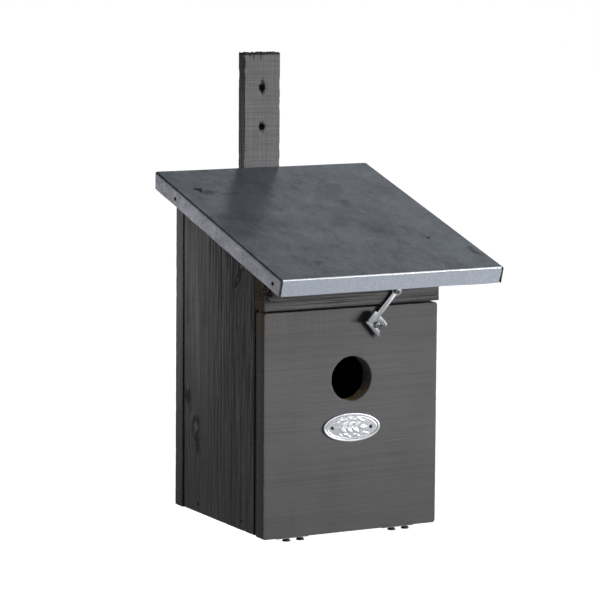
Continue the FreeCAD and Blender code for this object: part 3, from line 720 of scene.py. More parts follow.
class NESTBOX_OT_stage(bpy.types.Operator):
    """Makes the floor, the light and the camera"""

    bl_idname = "nest_box.stage"
    bl_label = "Stage"

    # Where the photograph was taken from, in degrees and metres; lens and sensor in millimetres.
    azimuth, elevation, roll = -28.237, 7.694, 0.335
    target, distance = Vector((-0.00918, 0.01603, 0.16154)), 2.1464
    lens, sensor = 179.95, 36.0
    # The key is a row of hooded lamps, so that its shadows are soft.
    key_turns = (34.0, 42.0, 50.0, 58.0)
    floor_half = 6.0
    # Seen, the floor is white with a faint shadow; the light that it sends back is that of grey paper.
    seen_grey, seen_white = 0.9, 1.7

    def execute(self, context):
        stage = context.scene.nest_box_stage
        context.scene.view_settings.view_transform = "Standard"
        self.make_floor(context, stage)
        self.make_world(context, stage)
        self.make_lamps(context, stage)
        self.make_camera(context)
        return {"FINISHED"}

    @staticmethod
    def seen_directly(recipe):
        """1 for rays from the camera, and for those that mirrors and glass pass on."""
        rays = recipe.add("ShaderNodeLightPath").socket.node.outputs
        seen = [Value(recipe, rays["Is " + kind + " Ray"]) for kind in ("Camera", "Glossy", "Transmission")]
        return seen[0].math("MAXIMUM", seen[1]).math("MAXIMUM", seen[2])

    def make_floor(self, context, stage):
        mesh = bpy.data.meshes.new("floor")
        work = bmesh.new()
        bmesh.ops.create_grid(work, x_segments=24, y_segments=24, size=self.floor_half)
        work.to_mesh(mesh)
        work.free()
        floor = bpy.data.objects.new("floor", mesh)
        floor.location.z = -stage.drop
        context.scene.collection.objects.link(floor)
        recipe = new_finish("floor_paint")
        seen = self.seen_directly(recipe)
        paper = recipe.noise(recipe.place(), (400.0,) * 3, 3.0)
        paper = recipe.scale(stage.floor, 0.98 + paper * 0.04)
        shade = recipe.mix(seen, paper, rgba([self.seen_grey] * 3))
        lit = recipe.add("ShaderNodeBsdfDiffuse", None, {"Color": shade})
        sockets = {"Color": rgba([1.0] * 3), "Strength": self.seen_white}
        white = recipe.add("ShaderNodeEmission", None, sockets)
        share = seen * (1.0 - stage.shadow)
        both = recipe.add("ShaderNodeMixShader", None, {0: share, 1: lit, 2: white})
        recipe.add("ShaderNodeOutputMaterial", None, {"Surface": both})
        mesh.materials.append(recipe.owner)
        floor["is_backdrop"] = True

    def make_world(self, context, stage):
        if context.scene.world is None:
            context.scene.world = bpy.data.worlds.new("studio")
        recipe = Recipe(context.scene.world)
        # More of the light comes from behind, above and the left, where no lamp stands.
        x, y, z = recipe.split(recipe.add("ShaderNodeTexCoord", output="Generated"))
        level = (1.0 + y * 0.5 - x * 0.2 + z * 0.4) * stage.ambient
        strength = level + self.seen_directly(recipe) * (1.0 - level)
        sockets = {"Color": rgba([1.0] * 3), "Strength": strength}
        light = recipe.add("ShaderNodeBackground", None, sockets)
        recipe.add("ShaderNodeOutputWorld", None, {"Surface": light})

    def make_lamps(self, context, stage):
        aim = Vector((0.0, DOOR_LOW.y, 0.26))
        power = stage.key_power / len(self.key_turns)
        for number, turn in enumerate(self.key_turns, 1):
            angle = math.radians(turn)
            towards = (math.sin(angle), -math.cos(angle), 0.09)
            self.make_lamp(context, f"key_light_{number}", aim, towards, 2.4, (0.33, 0.6), power, 26.0)
        # A broad lamp behind the box lights its back and right side.
        aim = Vector((0.0, SIDE_HIGH.y, 0.17))
        towards = (0.32, 0.94, 0.12)
        self.make_lamp(context, "rear_light", aim, towards, 2.2, (0.7, 0.8), stage.rear_power, 90.0)
        # The fill brushes the upper rear part of the left side.
        aim = Vector((SIDE_LOW.x, SIDE_HIGH.y + 38.0 * MM, 0.19))
        towards = (-0.8, 0.4, 0.28)
        self.make_lamp(context, "fill_light", aim, towards, 1.0, (0.1, 0.1), stage.fill_power, 15.0)

    @staticmethod
    def make_lamp(context, name, aim, towards, distance, size, power, spread):
        """A soft rectangular lamp that the camera doesn't see, hooded where its spread is small."""
        towards = Vector(towards).normalized()
        light = bpy.data.lights.new(name, "AREA")
        light.shape = "RECTANGLE"
        light.size, light.size_y = size
        light.energy = power
        light.spread = math.radians(spread)
        lamp = bpy.data.objects.new(name, light)
        lamp.location = aim + towards * distance
        lamp.rotation_euler = towards.to_track_quat("Z", "Y").to_euler()
        lamp.visible_camera = False
        context.scene.collection.objects.link(lamp)

    def make_camera(self, context):
        azimuth, rise, roll = map(math.radians, (self.azimuth, self.elevation, self.roll))
        back = Vector(
            (math.sin(azimuth) * math.cos(rise), -math.cos(azimuth) * math.cos(rise), math.sin(rise))
        )
        level = (-back).cross(Vector((0.0, 0.0, 1.0))).normalized()
        upright = level.cross(-back)
        right = level * math.cos(roll) + upright * math.sin(roll)
        up = upright * math.cos(roll) - level * math.sin(roll)
        lens = bpy.data.cameras.new("camera")
        lens.sensor_width = self.sensor
        lens.lens = self.lens
        camera = bpy.data.objects.new("camera", lens)
        turn = Matrix((right, up, back)).transposed().to_4x4()
        camera.matrix_world = Matrix.Translation(self.target + back * self.distance) @ turn
        context.scene.collection.objects.link(camera)
        context.scene.camera = camera


class NESTBOX_OT_boards(bpy.types.Operator):
    """Makes the sides, the back, the floor, the rail and the roof board"""

    bl_idname = "nest_box.boards"
    bl_label = "Boards"

    left_knots = (
        (-4.8, 183.2, 2.7, 5.2, -0.7, 5.0, 0.2),
        (75.0, 87.0, 5.4, 6.6, 0.1, 0.3, 1.1),
        (62.0, 66.0, 4.8, 6.4, -0.1, 1.5, -0.3),
        (60.0, 61.0, 2.8, 4.0, 0.3, 0.2, 1.2),
        (58.6, 53.0, 4.0, 7.5, 0.0, 0.0, 0.85),
    )
    right_knots = ((20.0, 60.0, 4.2, 6.5, 0.1, 0.6, 0.2), (48.0, 150.0, 3.4, 6.0, -0.2, 0.3, 0.35))
    # Painted shade in the joints of the sides, and on the rail: along its lower edge, at its left end and over its
    # right part
    joint = (("Y", SIDE_HIGH.y, 1.3, 0.7, "rim"), ("Y", SIDE_LOW.y, 3.2, 0.95, "rim"))
    dim = (
        ("X", RAIL_HIGH.x - 12.0 * MM, 48.0, 0.25, "all"),
        ("Z", RAIL_LOW.z - 0.5 * MM, 0.5, 0.95, "front"),
        ("X", RAIL_LOW.x, 1.2, 0.45, "all"),
    )
    # The torn place at the rail's left end: middle above its corner, half width and half height.
    tear_middle = Vector((RAIL_LOW.x + 2.6 * MM, 0.0, RAIL_LOW.z + 11.5 * MM))
    tear_half = Vector((3.6 * MM, 1.0, 6.5 * MM))

    def execute(self, context):
        wood = context.scene.nest_box_wood
        left_wood = painted_wood(
            "left_side_wood", contrast=6.0, fine=0.8, tone=1.13, saw=0.7, knots=self.left_knots,
            seams=self.joint, lively=self.lively,
        )
        right_wood = painted_wood(
            "right_side_wood", contrast=2.8, fine=0.8, saw=0.5, knots=self.right_knots, seams=self.joint
        )
        back_wood = painted_wood("back_wood", contrast=3.0, fine=0.7, seams=self.joint, tone=1.1)
        rail_wood = painted_wood(
            "rail_wood", "X", 4.2, 1.5, tone=1.08, flecks=0.4, seams=self.dim, brown=self.sawn_ends,
            bare=self.torn_end, bare_tone=0.028,
        )
        floor_wood = painted_wood("floor_wood", "X")
        # Name, node, finish, grain, spacing of the points in millimetres, and what shapes the ends
        jobs = (
            ("left_wall", "left_side", left_wood, "Z", (3.0, 0.9, 3.4), self.open_joint),
            ("right_wall", "right_side", right_wood, "Z", (3.0, 0.9, 3.4), self.open_joint),
            ("rear_wall", "back_panel", back_wood, "Z", (1.0, 1.5, 3.4), self.flare_back),
            ("bottom_board", "floor_board", floor_wood, "X", (3.4, 1.4, 2.0), None),
            ("hook_rail", "front_rail", rail_wood, "X", (2.0, 1.4, 0.8), self.tear_rail),
        )
        for seed, (name, node, finish, grain, steps, reshape) in enumerate(jobs, 1):
            slope = 0.0 if node == "floor_board" else math.tan(SLOPE)
            shape, top = self.board(wood, node, grain, steps, float(seed), slope)
            for point in shape.points if reshape else ():
                reshape(point)
            made = finish_piece(name, shape, finish, "box", node)
            close = edge_closeness(*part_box(node), top)
            set_tag(made, "edge", lambda corner: close(corner.co))
        self.make_roof_board(wood)
        return {"FINISHED"}

    @staticmethod
    def board(wood, node, grain, steps, seed, slope):
        """A sawn board with eased and chipped edges; its upper face may fall towards the front."""
        low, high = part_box(node)
        size = high - low
        fall = (high.y - low.y) * slope

        def top(y):
            return high.z - fall * (high.y - y) / size.y

        close = edge_closeness(low, high)
        points, outward, faces = rounded_block(size, wood.ease, steps)
        shape = Shape(faces=faces)
        for spot, direction in zip(points, outward):
            place = low + spot
            off = sawn_height(place, grain, wood.relief, seed) - chip_depth(place, close(place), seed)
            place = place + direction * off
            share = (place.z - low.z) / size.z
            shape.points.append(Vector((place.x, place.y, low.z + share * (top(place.y) - low.z))))
        return shape, top

    def tear_rail(self, point):
        """Wood torn out of the rail's left end, and fibres along its lower edge."""
        off = point - self.tear_middle
        far = (off.x / self.tear_half.x) ** 2 + (off.z / self.tear_half.z) ** 2
        rag = noise.noise(Vector((point.x * 500.0, 1.0, point.z * 700.0)))
        if point.y < RAIL_LOW.y + 1.5 * MM:
            point.y += 1.6 * MM * clamp(1.1 - far) * max(0.0, 0.35 + rag)
        if point.z < RAIL_LOW.z + 0.6 * MM:
            fray = noise.noise(Vector((point.x * 420.0, point.y * 300.0, 9.0)))
            point.z -= MM * (0.45 + 0.4 * max(0.0, fray))

    def open_joint(self, point):
        """Sets a side's front end back a little, most at its foot, behind the door."""
        if point.y < SIDE_LOW.y + 0.6 * MM:
            fall = clamp((DOOR_HIGH.z - point.z) / (DOOR_HIGH.z - DOOR_LOW.z))
            point.y += MM * (0.5 + 1.1 * fall)

    def flare_back(self, point):
        """Lets the back's left edge stand out past the side, most at its foot."""
        if point.x < 1.0 * MM - DOOR_HIGH.x:
            point.x -= MM * (0.5 + 0.9 * clamp(1.0 - point.z / SIDE_HIGH.z))

    def lively(self, recipe, x, y, z):
        """Grain that stands out most on the upper front part of the left side."""
        forward = 1.0 - recipe.step(y, 5.0 * MM, 55.0 * MM)
        return 0.6 + forward * 0.3 + forward * recipe.step(z, 60.0 * MM, 200.0 * MM) * 1.1

    def sawn_ends(self, recipe, x, y, z):
        """Thin paint on the rail's end grain."""
        return recipe.step(x.math("ABSOLUTE"), RAIL_HIGH.x - 0.9 * MM, RAIL_HIGH.x - 0.3 * MM) * 1.4

    def torn_end(self, recipe, x, y, z):
        """Where the rail's wood lies bare at its torn end."""
        rag = recipe.ripple(recipe.place(), (560.0, 500.0, 620.0), 3.0, 0.6)
        off_x = (x - self.tear_middle.x) / self.tear_half.x
        off_z = (z - self.tear_middle.z) / self.tear_half.z
        far = off_x * off_x + off_z * off_z + rag * 9.0
        return 1.0 - recipe.step(far, 0.3, 0.7)

    @staticmethod
    def make_roof_board(wood):
        """The sloping board under the sheet, its rear edge cut upright."""
        gap, under, over = 0.7 * MM, -ROOF_COVER, -0.7 * MM
        half = HALF_ROOF - 1.2 * MM
        size = Vector((2 * half, roof_length(under) - gap, over - under))
        points, outward, faces = rounded_block(size, wood.ease, (3.4, 1.5, 2.5))
        shape = Shape(faces=faces)
        for spot, direction in zip(points, outward):
            spot = spot + direction * sawn_height(spot, "X", 0.5 * wood.relief, 6.0)
            w = under + spot.z
            v = gap + spot.y * (roof_length(w) - gap) / size.y
            shape.points.append(roof_point(spot.x - half, v, w))
        finish = painted_wood("roof_wood", "X")
        made = finish_piece("roof_deck", shape, finish, "box", "roof_board")
        set_tag(made, "edge", lambda corner: 0.0)


class NESTBOX_OT_door(bpy.types.Operator):
    """Makes the door with its entrance hole"""

    bl_idname = "nest_box.door"
    bl_label = "Door"

    # Radius of the corners, and how far the edges of face, entrance and rear are eased
    corner, ease, rim, rear = 2.0 * MM, 0.5 * MM, 0.35 * MM, 0.4 * MM
    face, back = DOOR_LOW.y, DOOR_HIGH.y
    middle = Vector((0.0, 0.0, ENTRANCE_HEIGHT))
    face_rows = 46
    # Faint lines on the face, painted shade in the joints, and painted shade that darkens the face towards its
    # top, under the eave, and towards its foot
    lines = (
        ("X", -46.0 * MM, 0.5, 0.1, "all"),
        ("X", 17.0 * MM, 0.5, 0.07, "all"),
        ("Y", DOOR_HIGH.y, 3.2, 0.92, "rim"),
        ("Z", DOOR_HIGH.z, 0.5, 0.92, "front"),
        ("Z", DOOR_HIGH.z, 45.0, 0.09, "all"),
        ("Z", DOOR_LOW.z, 75.0, 0.07, "all"),
    )

    def outline(self):
        """Places and outward directions round the door's face, anticlockwise from the front."""
        right, low, high = DOOR_HIGH.x - self.corner, DOOR_LOW.z + self.corner, DOOR_HIGH.z - self.corner
        turns = ((right, low, -90.0), (right, high, 0.0), (-right, high, 90.0), (-right, low, 180.0))
        arcs = []
        for x, z, start in turns:
            arc = []
            for step in range(5):
                angle = math.radians(start + 22.5 * step)
                way = Vector((math.cos(angle), 0.0, math.sin(angle)))
                arc.append((Vector((x, 0.0, z)) + way * self.corner, way))
            arcs.append(arc)
        places = []
        for number, arc in enumerate(arcs):
            places += arc
            begin, way = arc[-1]
            finish = arcs[(number + 1) % 4][0][0]
            count = round((finish - begin).length / (1.4 * MM))
            places += [(begin.lerp(finish, step / count), way) for step in range(1, count)]
        return places

    def chip(self, place, way):
        """How deep the edge is chipped, most along the left part of the upper one."""
        left = clamp(0.6 - place.x / (60.0 * MM))
        lift = 0.5 + 1.7 * left if way.z > 0.7 else 0.3
        worn = noise.noise(place * 210.0) + 0.8 * noise.noise(place * 700.0)
        return lift * 0.6 * MM * max(0.0, worn - 0.1)

    def rim_point(self, place, grow, depth):
        """The rough edge of the entrance, torn at its foot, in the direction of a place."""
        way = (place - self.middle).normalized()
        angle = math.atan2(way.z, way.x)
        spot = Vector((3.0 * way.x, 3.0 * way.z, depth * 180.0))
        rough = 0.16 * MM * noise.noise(spot * 2.0) + 0.1 * MM * noise.noise(spot * 9.0)
        torn = 0.5 * MM * math.exp(-(((angle + 1.57) / 0.25) ** 2)) * abs(noise.noise(spot * 14.0))
        at_face = max(0.0, 1.0 - (depth - self.face) / (2.0 * MM))
        return self.middle + way * (ENTRANCE_RADIUS + grow + rough + torn * at_face)

    def rows(self, relief):
        """Rings from the entrance over the face, the edge and the rear, and back through the hole."""
        face, back, ease, rear = self.face, self.back, self.ease, self.rear
        border = self.outline()
        for number in range(self.face_rows + 1):
            share = (number / self.face_rows) ** 1.15
            row = []
            for place, way in border:
                end = place - way * (ease + self.chip(place, way))
                spot = self.rim_point(place, self.rim, face).lerp(end, share)
                swell = 1.5 * relief * noise.noise(spot * 22.0)
                spot.y = face - swell * min(1.0, 6 * share * (1.02 - share))
                row.append(spot)
            yield row
        eased = [(ease * (1 - math.sin(a)), face + ease * (1 - math.cos(a))) for a in (0.52, 1.05, 1.571)]
        eased += [(0.0, face + (back - face) * share) for share in (0.3, 0.6)]
        eased += [(0.0, back - rear), (rear * 0.3, back - rear * 0.3), (rear, back)]
        for inset, depth in eased:
            fade = max(0.0, 1.0 - (depth - face) / (4.0 * MM))
            yield self.level(
                (place - way * (inset + fade * self.chip(place, way)) for place, way in border), depth
            )
        ends = [(self.rim_point(place, self.rim, back), place - way * rear) for place, way in border]
        for share in (0.9, 0.6, 0.35, 0.15, 0.0):
            yield self.level((start.lerp(end, share) for start, end in ends), back)
        for share in (0.03, 0.2, 0.4, 0.6, 0.8, 0.93, 0.98):
            depth = back + (face - back) * share
            yield self.level((self.rim_point(place, 0.0, depth) for place, _ in border), depth)

    @staticmethod
    def level(points, depth):
        return [Vector((point.x, depth, point.z)) for point in points]

    def execute(self, context):
        shape = Shape()
        shape.skin(list(self.rows(context.scene.nest_box_wood.relief)), closed=True)
        finish = painted_wood(
            "door_wood", contrast=0.7, saw=1.0, seams=self.lines, lively=self.lively, brown=self.brown,
            bare=self.bare, bare_tone=1.5,
        )
        made = finish_piece("door_panel", shape, finish, "door", "front_door")
        close = edge_closeness(DOOR_LOW, DOOR_HIGH, None, (0.0, ENTRANCE_HEIGHT, ENTRANCE_RADIUS))
        set_tag(made, "edge", lambda corner: close(corner.co))
        return {"FINISHED"}

    def bare(self, recipe, x, y, z):
        """Bare wood that shows in the entrance, most on its lower part. This is partly painted light: the lower
        wall, where light falls in, is made lighter bare wood, and the rest of the wall keeps dark paint as painted
        shade.
        """
        off = z - ENTRANCE_HEIGHT
        far = (x * x + off * off) ** 0.5
        rag = recipe.ripple(recipe.place(), (900.0, 900.0, 300.0), 3.0) * (1.6 * MM)
        low_rim = recipe.step(off * -1.0, 9.0 * MM, 16.0 * MM) * (0.5 * MM)
        inside = 1.0 - recipe.step(far + rag - low_rim, ENTRANCE_RADIUS, ENTRANCE_RADIUS + 0.25 * MM)
        inside = inside * recipe.step(y, self.face + 0.2 * MM, self.face + 0.9 * MM)
        return inside * (0.12 + recipe.step(off * -1.0, 4.0 * MM, 13.0 * MM) * 0.88)

    def brown(self, recipe, x, y, z):
        """Thin paint along the upper part of the left edge."""
        return recipe.step(-x, 68.0 * MM, 69.2 * MM) * recipe.step(z, 90.0 * MM, 165.0 * MM) * 0.6

    def lively(self, recipe, x, y, z):
        """Grain that shows along the left part of the upper edge."""
        upper = recipe.step(z, DOOR_HIGH.z - 40.0 * MM, DOOR_HIGH.z - 4.0 * MM)
        return 0.12 + upper * (1.0 - recipe.step(x, -45.0 * MM, 30.0 * MM))


class NESTBOX_OT_batten(bpy.types.Operator):
    """Makes the hanging batten with its ragged end and torn holes"""

    bl_idname = "nest_box.batten"
    bl_label = "Batten"

    # Spacing of the points in millimetres
    steps = (0.75, 0.85, 1.1)
    seed = 7.0
    # Splits at the upper end: x, length and half width in millimetres.
    splits = ((-10.6, 3.6, 0.5), (-7.2, 5.4, 0.6), (-1.4, 6.2, 0.6))
    # Torn wood round the holes: half width, half height in millimetres, and how square it is.
    tears = ((4.1, 7.0), (3.4, 5.6))
    square = 1.7
    holes = tuple(Vector((0.0, 0.0, height)) for height in HANGING_HEIGHTS)

    def execute(self, context):
        wood = context.scene.nest_box_wood
        low, high = BATTEN_LOW, BATTEN_HIGH
        close = edge_closeness(low, high)
        points, outward, faces = rounded_block(high - low, wood.ease, self.steps)
        moved = []
        for spot, direction in zip(points, outward):
            place = low + spot
            off = sawn_height(place, "Z", wood.relief, self.seed)
            off -= 1.8 * chip_depth(place, close(place), self.seed)
            moved.append(self.tear(place + direction * off, direction))
        faces = self.open_holes(moved, faces)
        # The bare wood round and in the holes and in the splits is made very dark, partly as painted shade in the
        # holes and splits.
        finish = painted_wood(
            "batten_wood", tone=1.22, saw=1.8, seams=[("Z", high.z, 2.4, 0.88, "all")],
            lively=self.lively, bare=self.bare, bare_tone=0.1,
        )
        shape = Shape(moved, faces)
        made = finish_piece("batten", shape, finish, "box", "hanging_batten")
        set_tag(made, "edge", lambda corner: close(corner.co))
        return {"FINISHED"}

    def tear(self, place, direction):
        """Ragged fibres at the upper end, splits below it and torn wood round the holes."""
        if direction.z > 0.3:
            fibre = noise.noise(Vector((place.x * 430.0, place.y * 700.0, 3.0)))
            tuft = noise.noise(Vector((place.x * 2600.0, place.y * 2600.0, 8.0)))
            place.z += direction.z * MM * (1.5 * fibre + 1.1 * tuft - 0.5)
        for x, length, half in self.splits:
            depth = max(0.0, 1 - abs(place.x / MM - x) / half)
            depth *= max(0.0, 1 - (BATTEN_HIGH.z - place.z) / (length * MM))
            if direction.y < -0.3:
                place.y += 1.2 * MM * depth
        if direction.y < -0.7:
            for height, (half_width, half_height) in zip(HANGING_HEIGHTS, self.tears):
                off_x, off_z = place.x / (half_width * MM), (place.z - height) / (half_height * MM)
                far = abs(off_x) ** self.square + abs(off_z) ** self.square
                rag = noise.noise(Vector((place.x * 800.0, 5.0, place.z * 260.0)))
                place.y += 0.6 * MM * clamp(1.0 - far + 0.35 * rag)
        return place

    def open_holes(self, points, faces):
        """Takes out the faces over the holes, draws their edge round and adds the holes' walls."""

        def flat(point):
            return Vector((point.x, 0.0, point.z))

        def nearest(point):
            return min(self.holes, key=lambda hole: (flat(point) - hole).length)

        def covers(face):
            middle = sum((flat(points[corner]) for corner in face), Vector()) / len(face)
            level = all(abs(points[corner].x) < 8 * MM for corner in face)
            return level and (middle - nearest(middle)).length < HANGING_RADIUS

        kept = [face for face in faces if not covers(face)]
        uses = {edge: True for face in kept for edge in zip(face, face[1:] + face[:1])}
        open_edges = [(start, end) for start, end in uses if (end, start) not in uses]
        rim = {corner for edge in open_edges for corner in edge}
        for corner in rim:
            point = points[corner]
            hole = nearest(point)
            way = (flat(point) - hole).normalized()
            rough = 0.25 * MM * noise.noise(way * 3.0 + hole * 50.0)
            spot = hole + way * (HANGING_RADIUS + rough)
            points[corner] = Vector((spot.x, point.y, spot.z))
        rear = [corner for corner in rim if points[corner].y > (BATTEN_LOW.y + BATTEN_HIGH.y) / 2]
        front, inner = {}, {}
        for corner in rim.difference(rear):
            here = points[corner]
            front[corner] = min(rear, key=lambda other: (flat(points[other]) - flat(here)).length)
            # Loose fibres in the hole, most on its right
            point = here.lerp(points[front[corner]], 0.8)
            hole = nearest(point)
            way = (flat(point) - hole).normalized()
            fibres = 0.25 + 0.3 * max(0.0, way.x) + 0.2 * noise.noise(point * 900.0)
            spot = hole + (flat(point) - hole) * (1.0 - fibres)
            inner[corner] = len(points)
            points.append(Vector((spot.x, point.y, spot.z)))
        for start, end in open_edges:
            if start in front and end in front:
                kept.append([end, start, inner[start], inner[end]])
                kept.append([inner[end], inner[start], front[start], front[end]])
        return kept

    def lively(self, recipe, x, y, z):
        """Grain that stands out on the batten's narrow sides."""
        edge = recipe.step(x.math("ABSOLUTE"), BATTEN_HIGH.x - 0.9 * MM, BATTEN_HIGH.x - 0.3 * MM)
        return 1.0 + edge * 5.5

    def bare(self, recipe, x, y, z):
        """Where wood shows round and in the holes and in the splits."""
        rag = recipe.ripple(recipe.place(), (700.0, 700.0, 220.0), 4.0, 0.7)
        raw = 0.0
        for height, (half_width, half_height) in zip(HANGING_HEIGHTS, self.tears):
            off_x = (x / (half_width * MM)).math("ABSOLUTE") ** self.square
            off_z = ((z - height) / (half_height * MM)).math("ABSOLUTE") ** self.square
            raw = raw + (1.0 - recipe.step(off_x + off_z + rag * 3.6, 0.45, 0.7))
        for middle, length, half in self.splits:
            gap = (x - middle * MM).math("ABSOLUTE") + rag * (0.3 * MM)
            start = BATTEN_HIGH.z - length * MM
            split = recipe.step(z, start, start + 2.0 * MM)
            raw = raw + (1.0 - recipe.step(gap, 0.4 * half * MM, half * MM)) * split
        return raw.math("MINIMUM", 1.0)


class NESTBOX_OT_roof_sheet(bpy.types.Operator):
    """Makes the folded roof sheet"""

    bl_idname = "nest_box.roof_sheet"
    bl_label = "Roof Sheet"

    bend = 1.4 * MM
    apron = 12.0 * MM
    seam = 1.6 * MM  # from the roof's edge to the end of the front apron
    half_columns, rows, apron_rows = 24, 46, 6

    def fold(self):
        """Points down a bend and its apron: how far in from the outer face, and w."""
        steps = [math.radians(18.0 * step) for step in range(6)]
        points = [(self.bend * (1 - math.sin(a)), self.bend * (math.cos(a) - 1)) for a in steps]
        fall = (self.apron - self.bend) / self.apron_rows
        return points + [(0.0, -self.bend - fall * step) for step in range(1, self.apron_rows + 1)]

    def across(self):
        """Points across the sheet from its left apron to its right one, as u and w."""
        flat = HALF_ROOF - self.seam
        right = [(flat * step / self.half_columns, 0.0) for step in range(self.half_columns + 1)]
        right += [(HALF_ROOF - inset, w) for inset, w in self.fold()]
        return [(-u, w) for u, w in reversed(right[1:])] + right

    def sway(self, u, v, w):
        """The sheet a little out of true: a slow wave on top, aprons that lean in and out."""
        wave = bpy.context.scene.nest_box_metal.wave
        hang = max(0.0, -w - self.bend) / self.apron
        if abs(u) > HALF_ROOF - 0.1 * MM:
            lean = wave * noise.noise(Vector((math.copysign(4.0, u), v * 26.0, 2.0)))
            drop = 1 + 0.04 * noise.noise(Vector((u, v * 40.0, 5.0)))
            return Vector((u + lean * hang * 1.6, v, w * drop))
        if v < 0.1 * MM:
            lean = wave * noise.noise(Vector((u * 26.0, 7.0, 2.0)))
            drop = 1 + 0.03 * noise.noise(Vector((u * 35.0, 2.0, 5.0)))
            return Vector((u, v + lean * hang * 1.6, w * drop))
        rise = 0.6 * wave * noise.noise(Vector((u * 22.0, v * 22.0, 1.0)))
        edge = min(1.0, (HALF_ROOF - abs(u)) / (20 * MM), max(0.0, v) / (20 * MM))
        return Vector((u, v, w + rise * max(0.0, edge)))

    def execute(self, context):
        columns = self.across()
        limit = HALF_ROOF - self.seam + 0.01 * MM
        past = [abs(u) > limit for u, _ in columns]
        index, points, faces = {}, [], []

        def add(row, column, u, v, w):
            index[row, column] = len(points)
            points.append(roof_point(*self.sway(u, v, w)))

        for column, (u, w) in enumerate(columns):
            end = roof_length(w)
            for row in range(self.rows + 1):
                add(row, column, u, self.bend + (end - self.bend) * row / self.rows, w)
            if past[column]:
                # Past the seam the sheet runs straight on to its side apron's end.
                drop = (1.3 if u < 0 else 0.2) * MM * max(0.0, -w - self.bend) / self.apron
                add(-1, column, u, 0.05 * MM, w - drop)
                continue
            for step, (v, down) in enumerate(self.fold()[1:], 1):
                # The front apron's right end is cut askew, so its seam widens downwards.
                share = (step - 5) / self.apron_rows
                askew = 0.9 * MM * (0.45 - share) if share > 0.0 and u > limit - 0.1 * MM else 0.0
                add(-step, column, u + askew, v, down)
        for row, column in index:
            ring = [(row, column), (row, column + 1), (row + 1, column + 1), (row + 1, column)]
            if all(key in index for key in ring):
                # The seam stays open between the aprons.
                pair = past[column:column + 2]
                if row < -1 and any(pair) or row == -1 and any(pair) and not all(pair):
                    continue
                faces.append([index[key] for key in ring])
        shape = Shape(points, faces)
        finish = zinc_sheet("roof_zinc")
        made = finish_piece("roof_cap", shape, finish, "box", "roof_sheet", closed=False)
        for name in ("dull", "crease", "bright"):
            set_tag(made, name, getattr(self, name))
        self.sharpen_border(made.data)
        thick = made.modifiers.new("sheet_thickness", "SOLIDIFY")
        thick.thickness = context.scene.nest_box_metal.sheet_thick
        thick.offset = -1.0
        thick.use_even_offset = True
        return {"FINISHED"}

    @staticmethod
    def sharpen_border(mesh):
        """Keeps the faces' shading flat up to the sheet's cut edges."""
        uses = {}
        for polygon in mesh.polygons:
            for key in polygon.edge_keys:
                uses[key] = uses.get(key, 0) + 1
        for edge in mesh.edges:
            if uses.get(edge.key) == 1:
                edge.use_edge_sharp = True

    @staticmethod
    def facing(corner):
        """How far a point of the sheet looks up, to a side and to the front."""
        up = Vector((0.0, -math.sin(SLOPE), math.cos(SLOPE)))
        top, side = max(0.0, corner.normal.dot(up)), abs(corner.normal.x)
        return top, side, math.sqrt(max(0.0, 1.0 - top * top - side * side))

    def dull(self, corner):
        """1 on top, a half on the side aprons and 0 in front; it picks the sheet's colour by facing, which is
        partly painted light.
        """
        top, side, _ = self.facing(corner)
        return min(1.0, top * top * 1.3 + 0.5 * side * side)

    def crease(self, corner):
        """1 along the side bends, which get painted shade."""
        top, side, _ = self.facing(corner)
        return min(1.0, 2.0 * top * side)

    def bright(self, corner):
        """1 along the front bend, which gets a painted highlight."""
        top, _, front = self.facing(corner)
        return clamp((2.0 * top * front - 0.74) / 0.22)


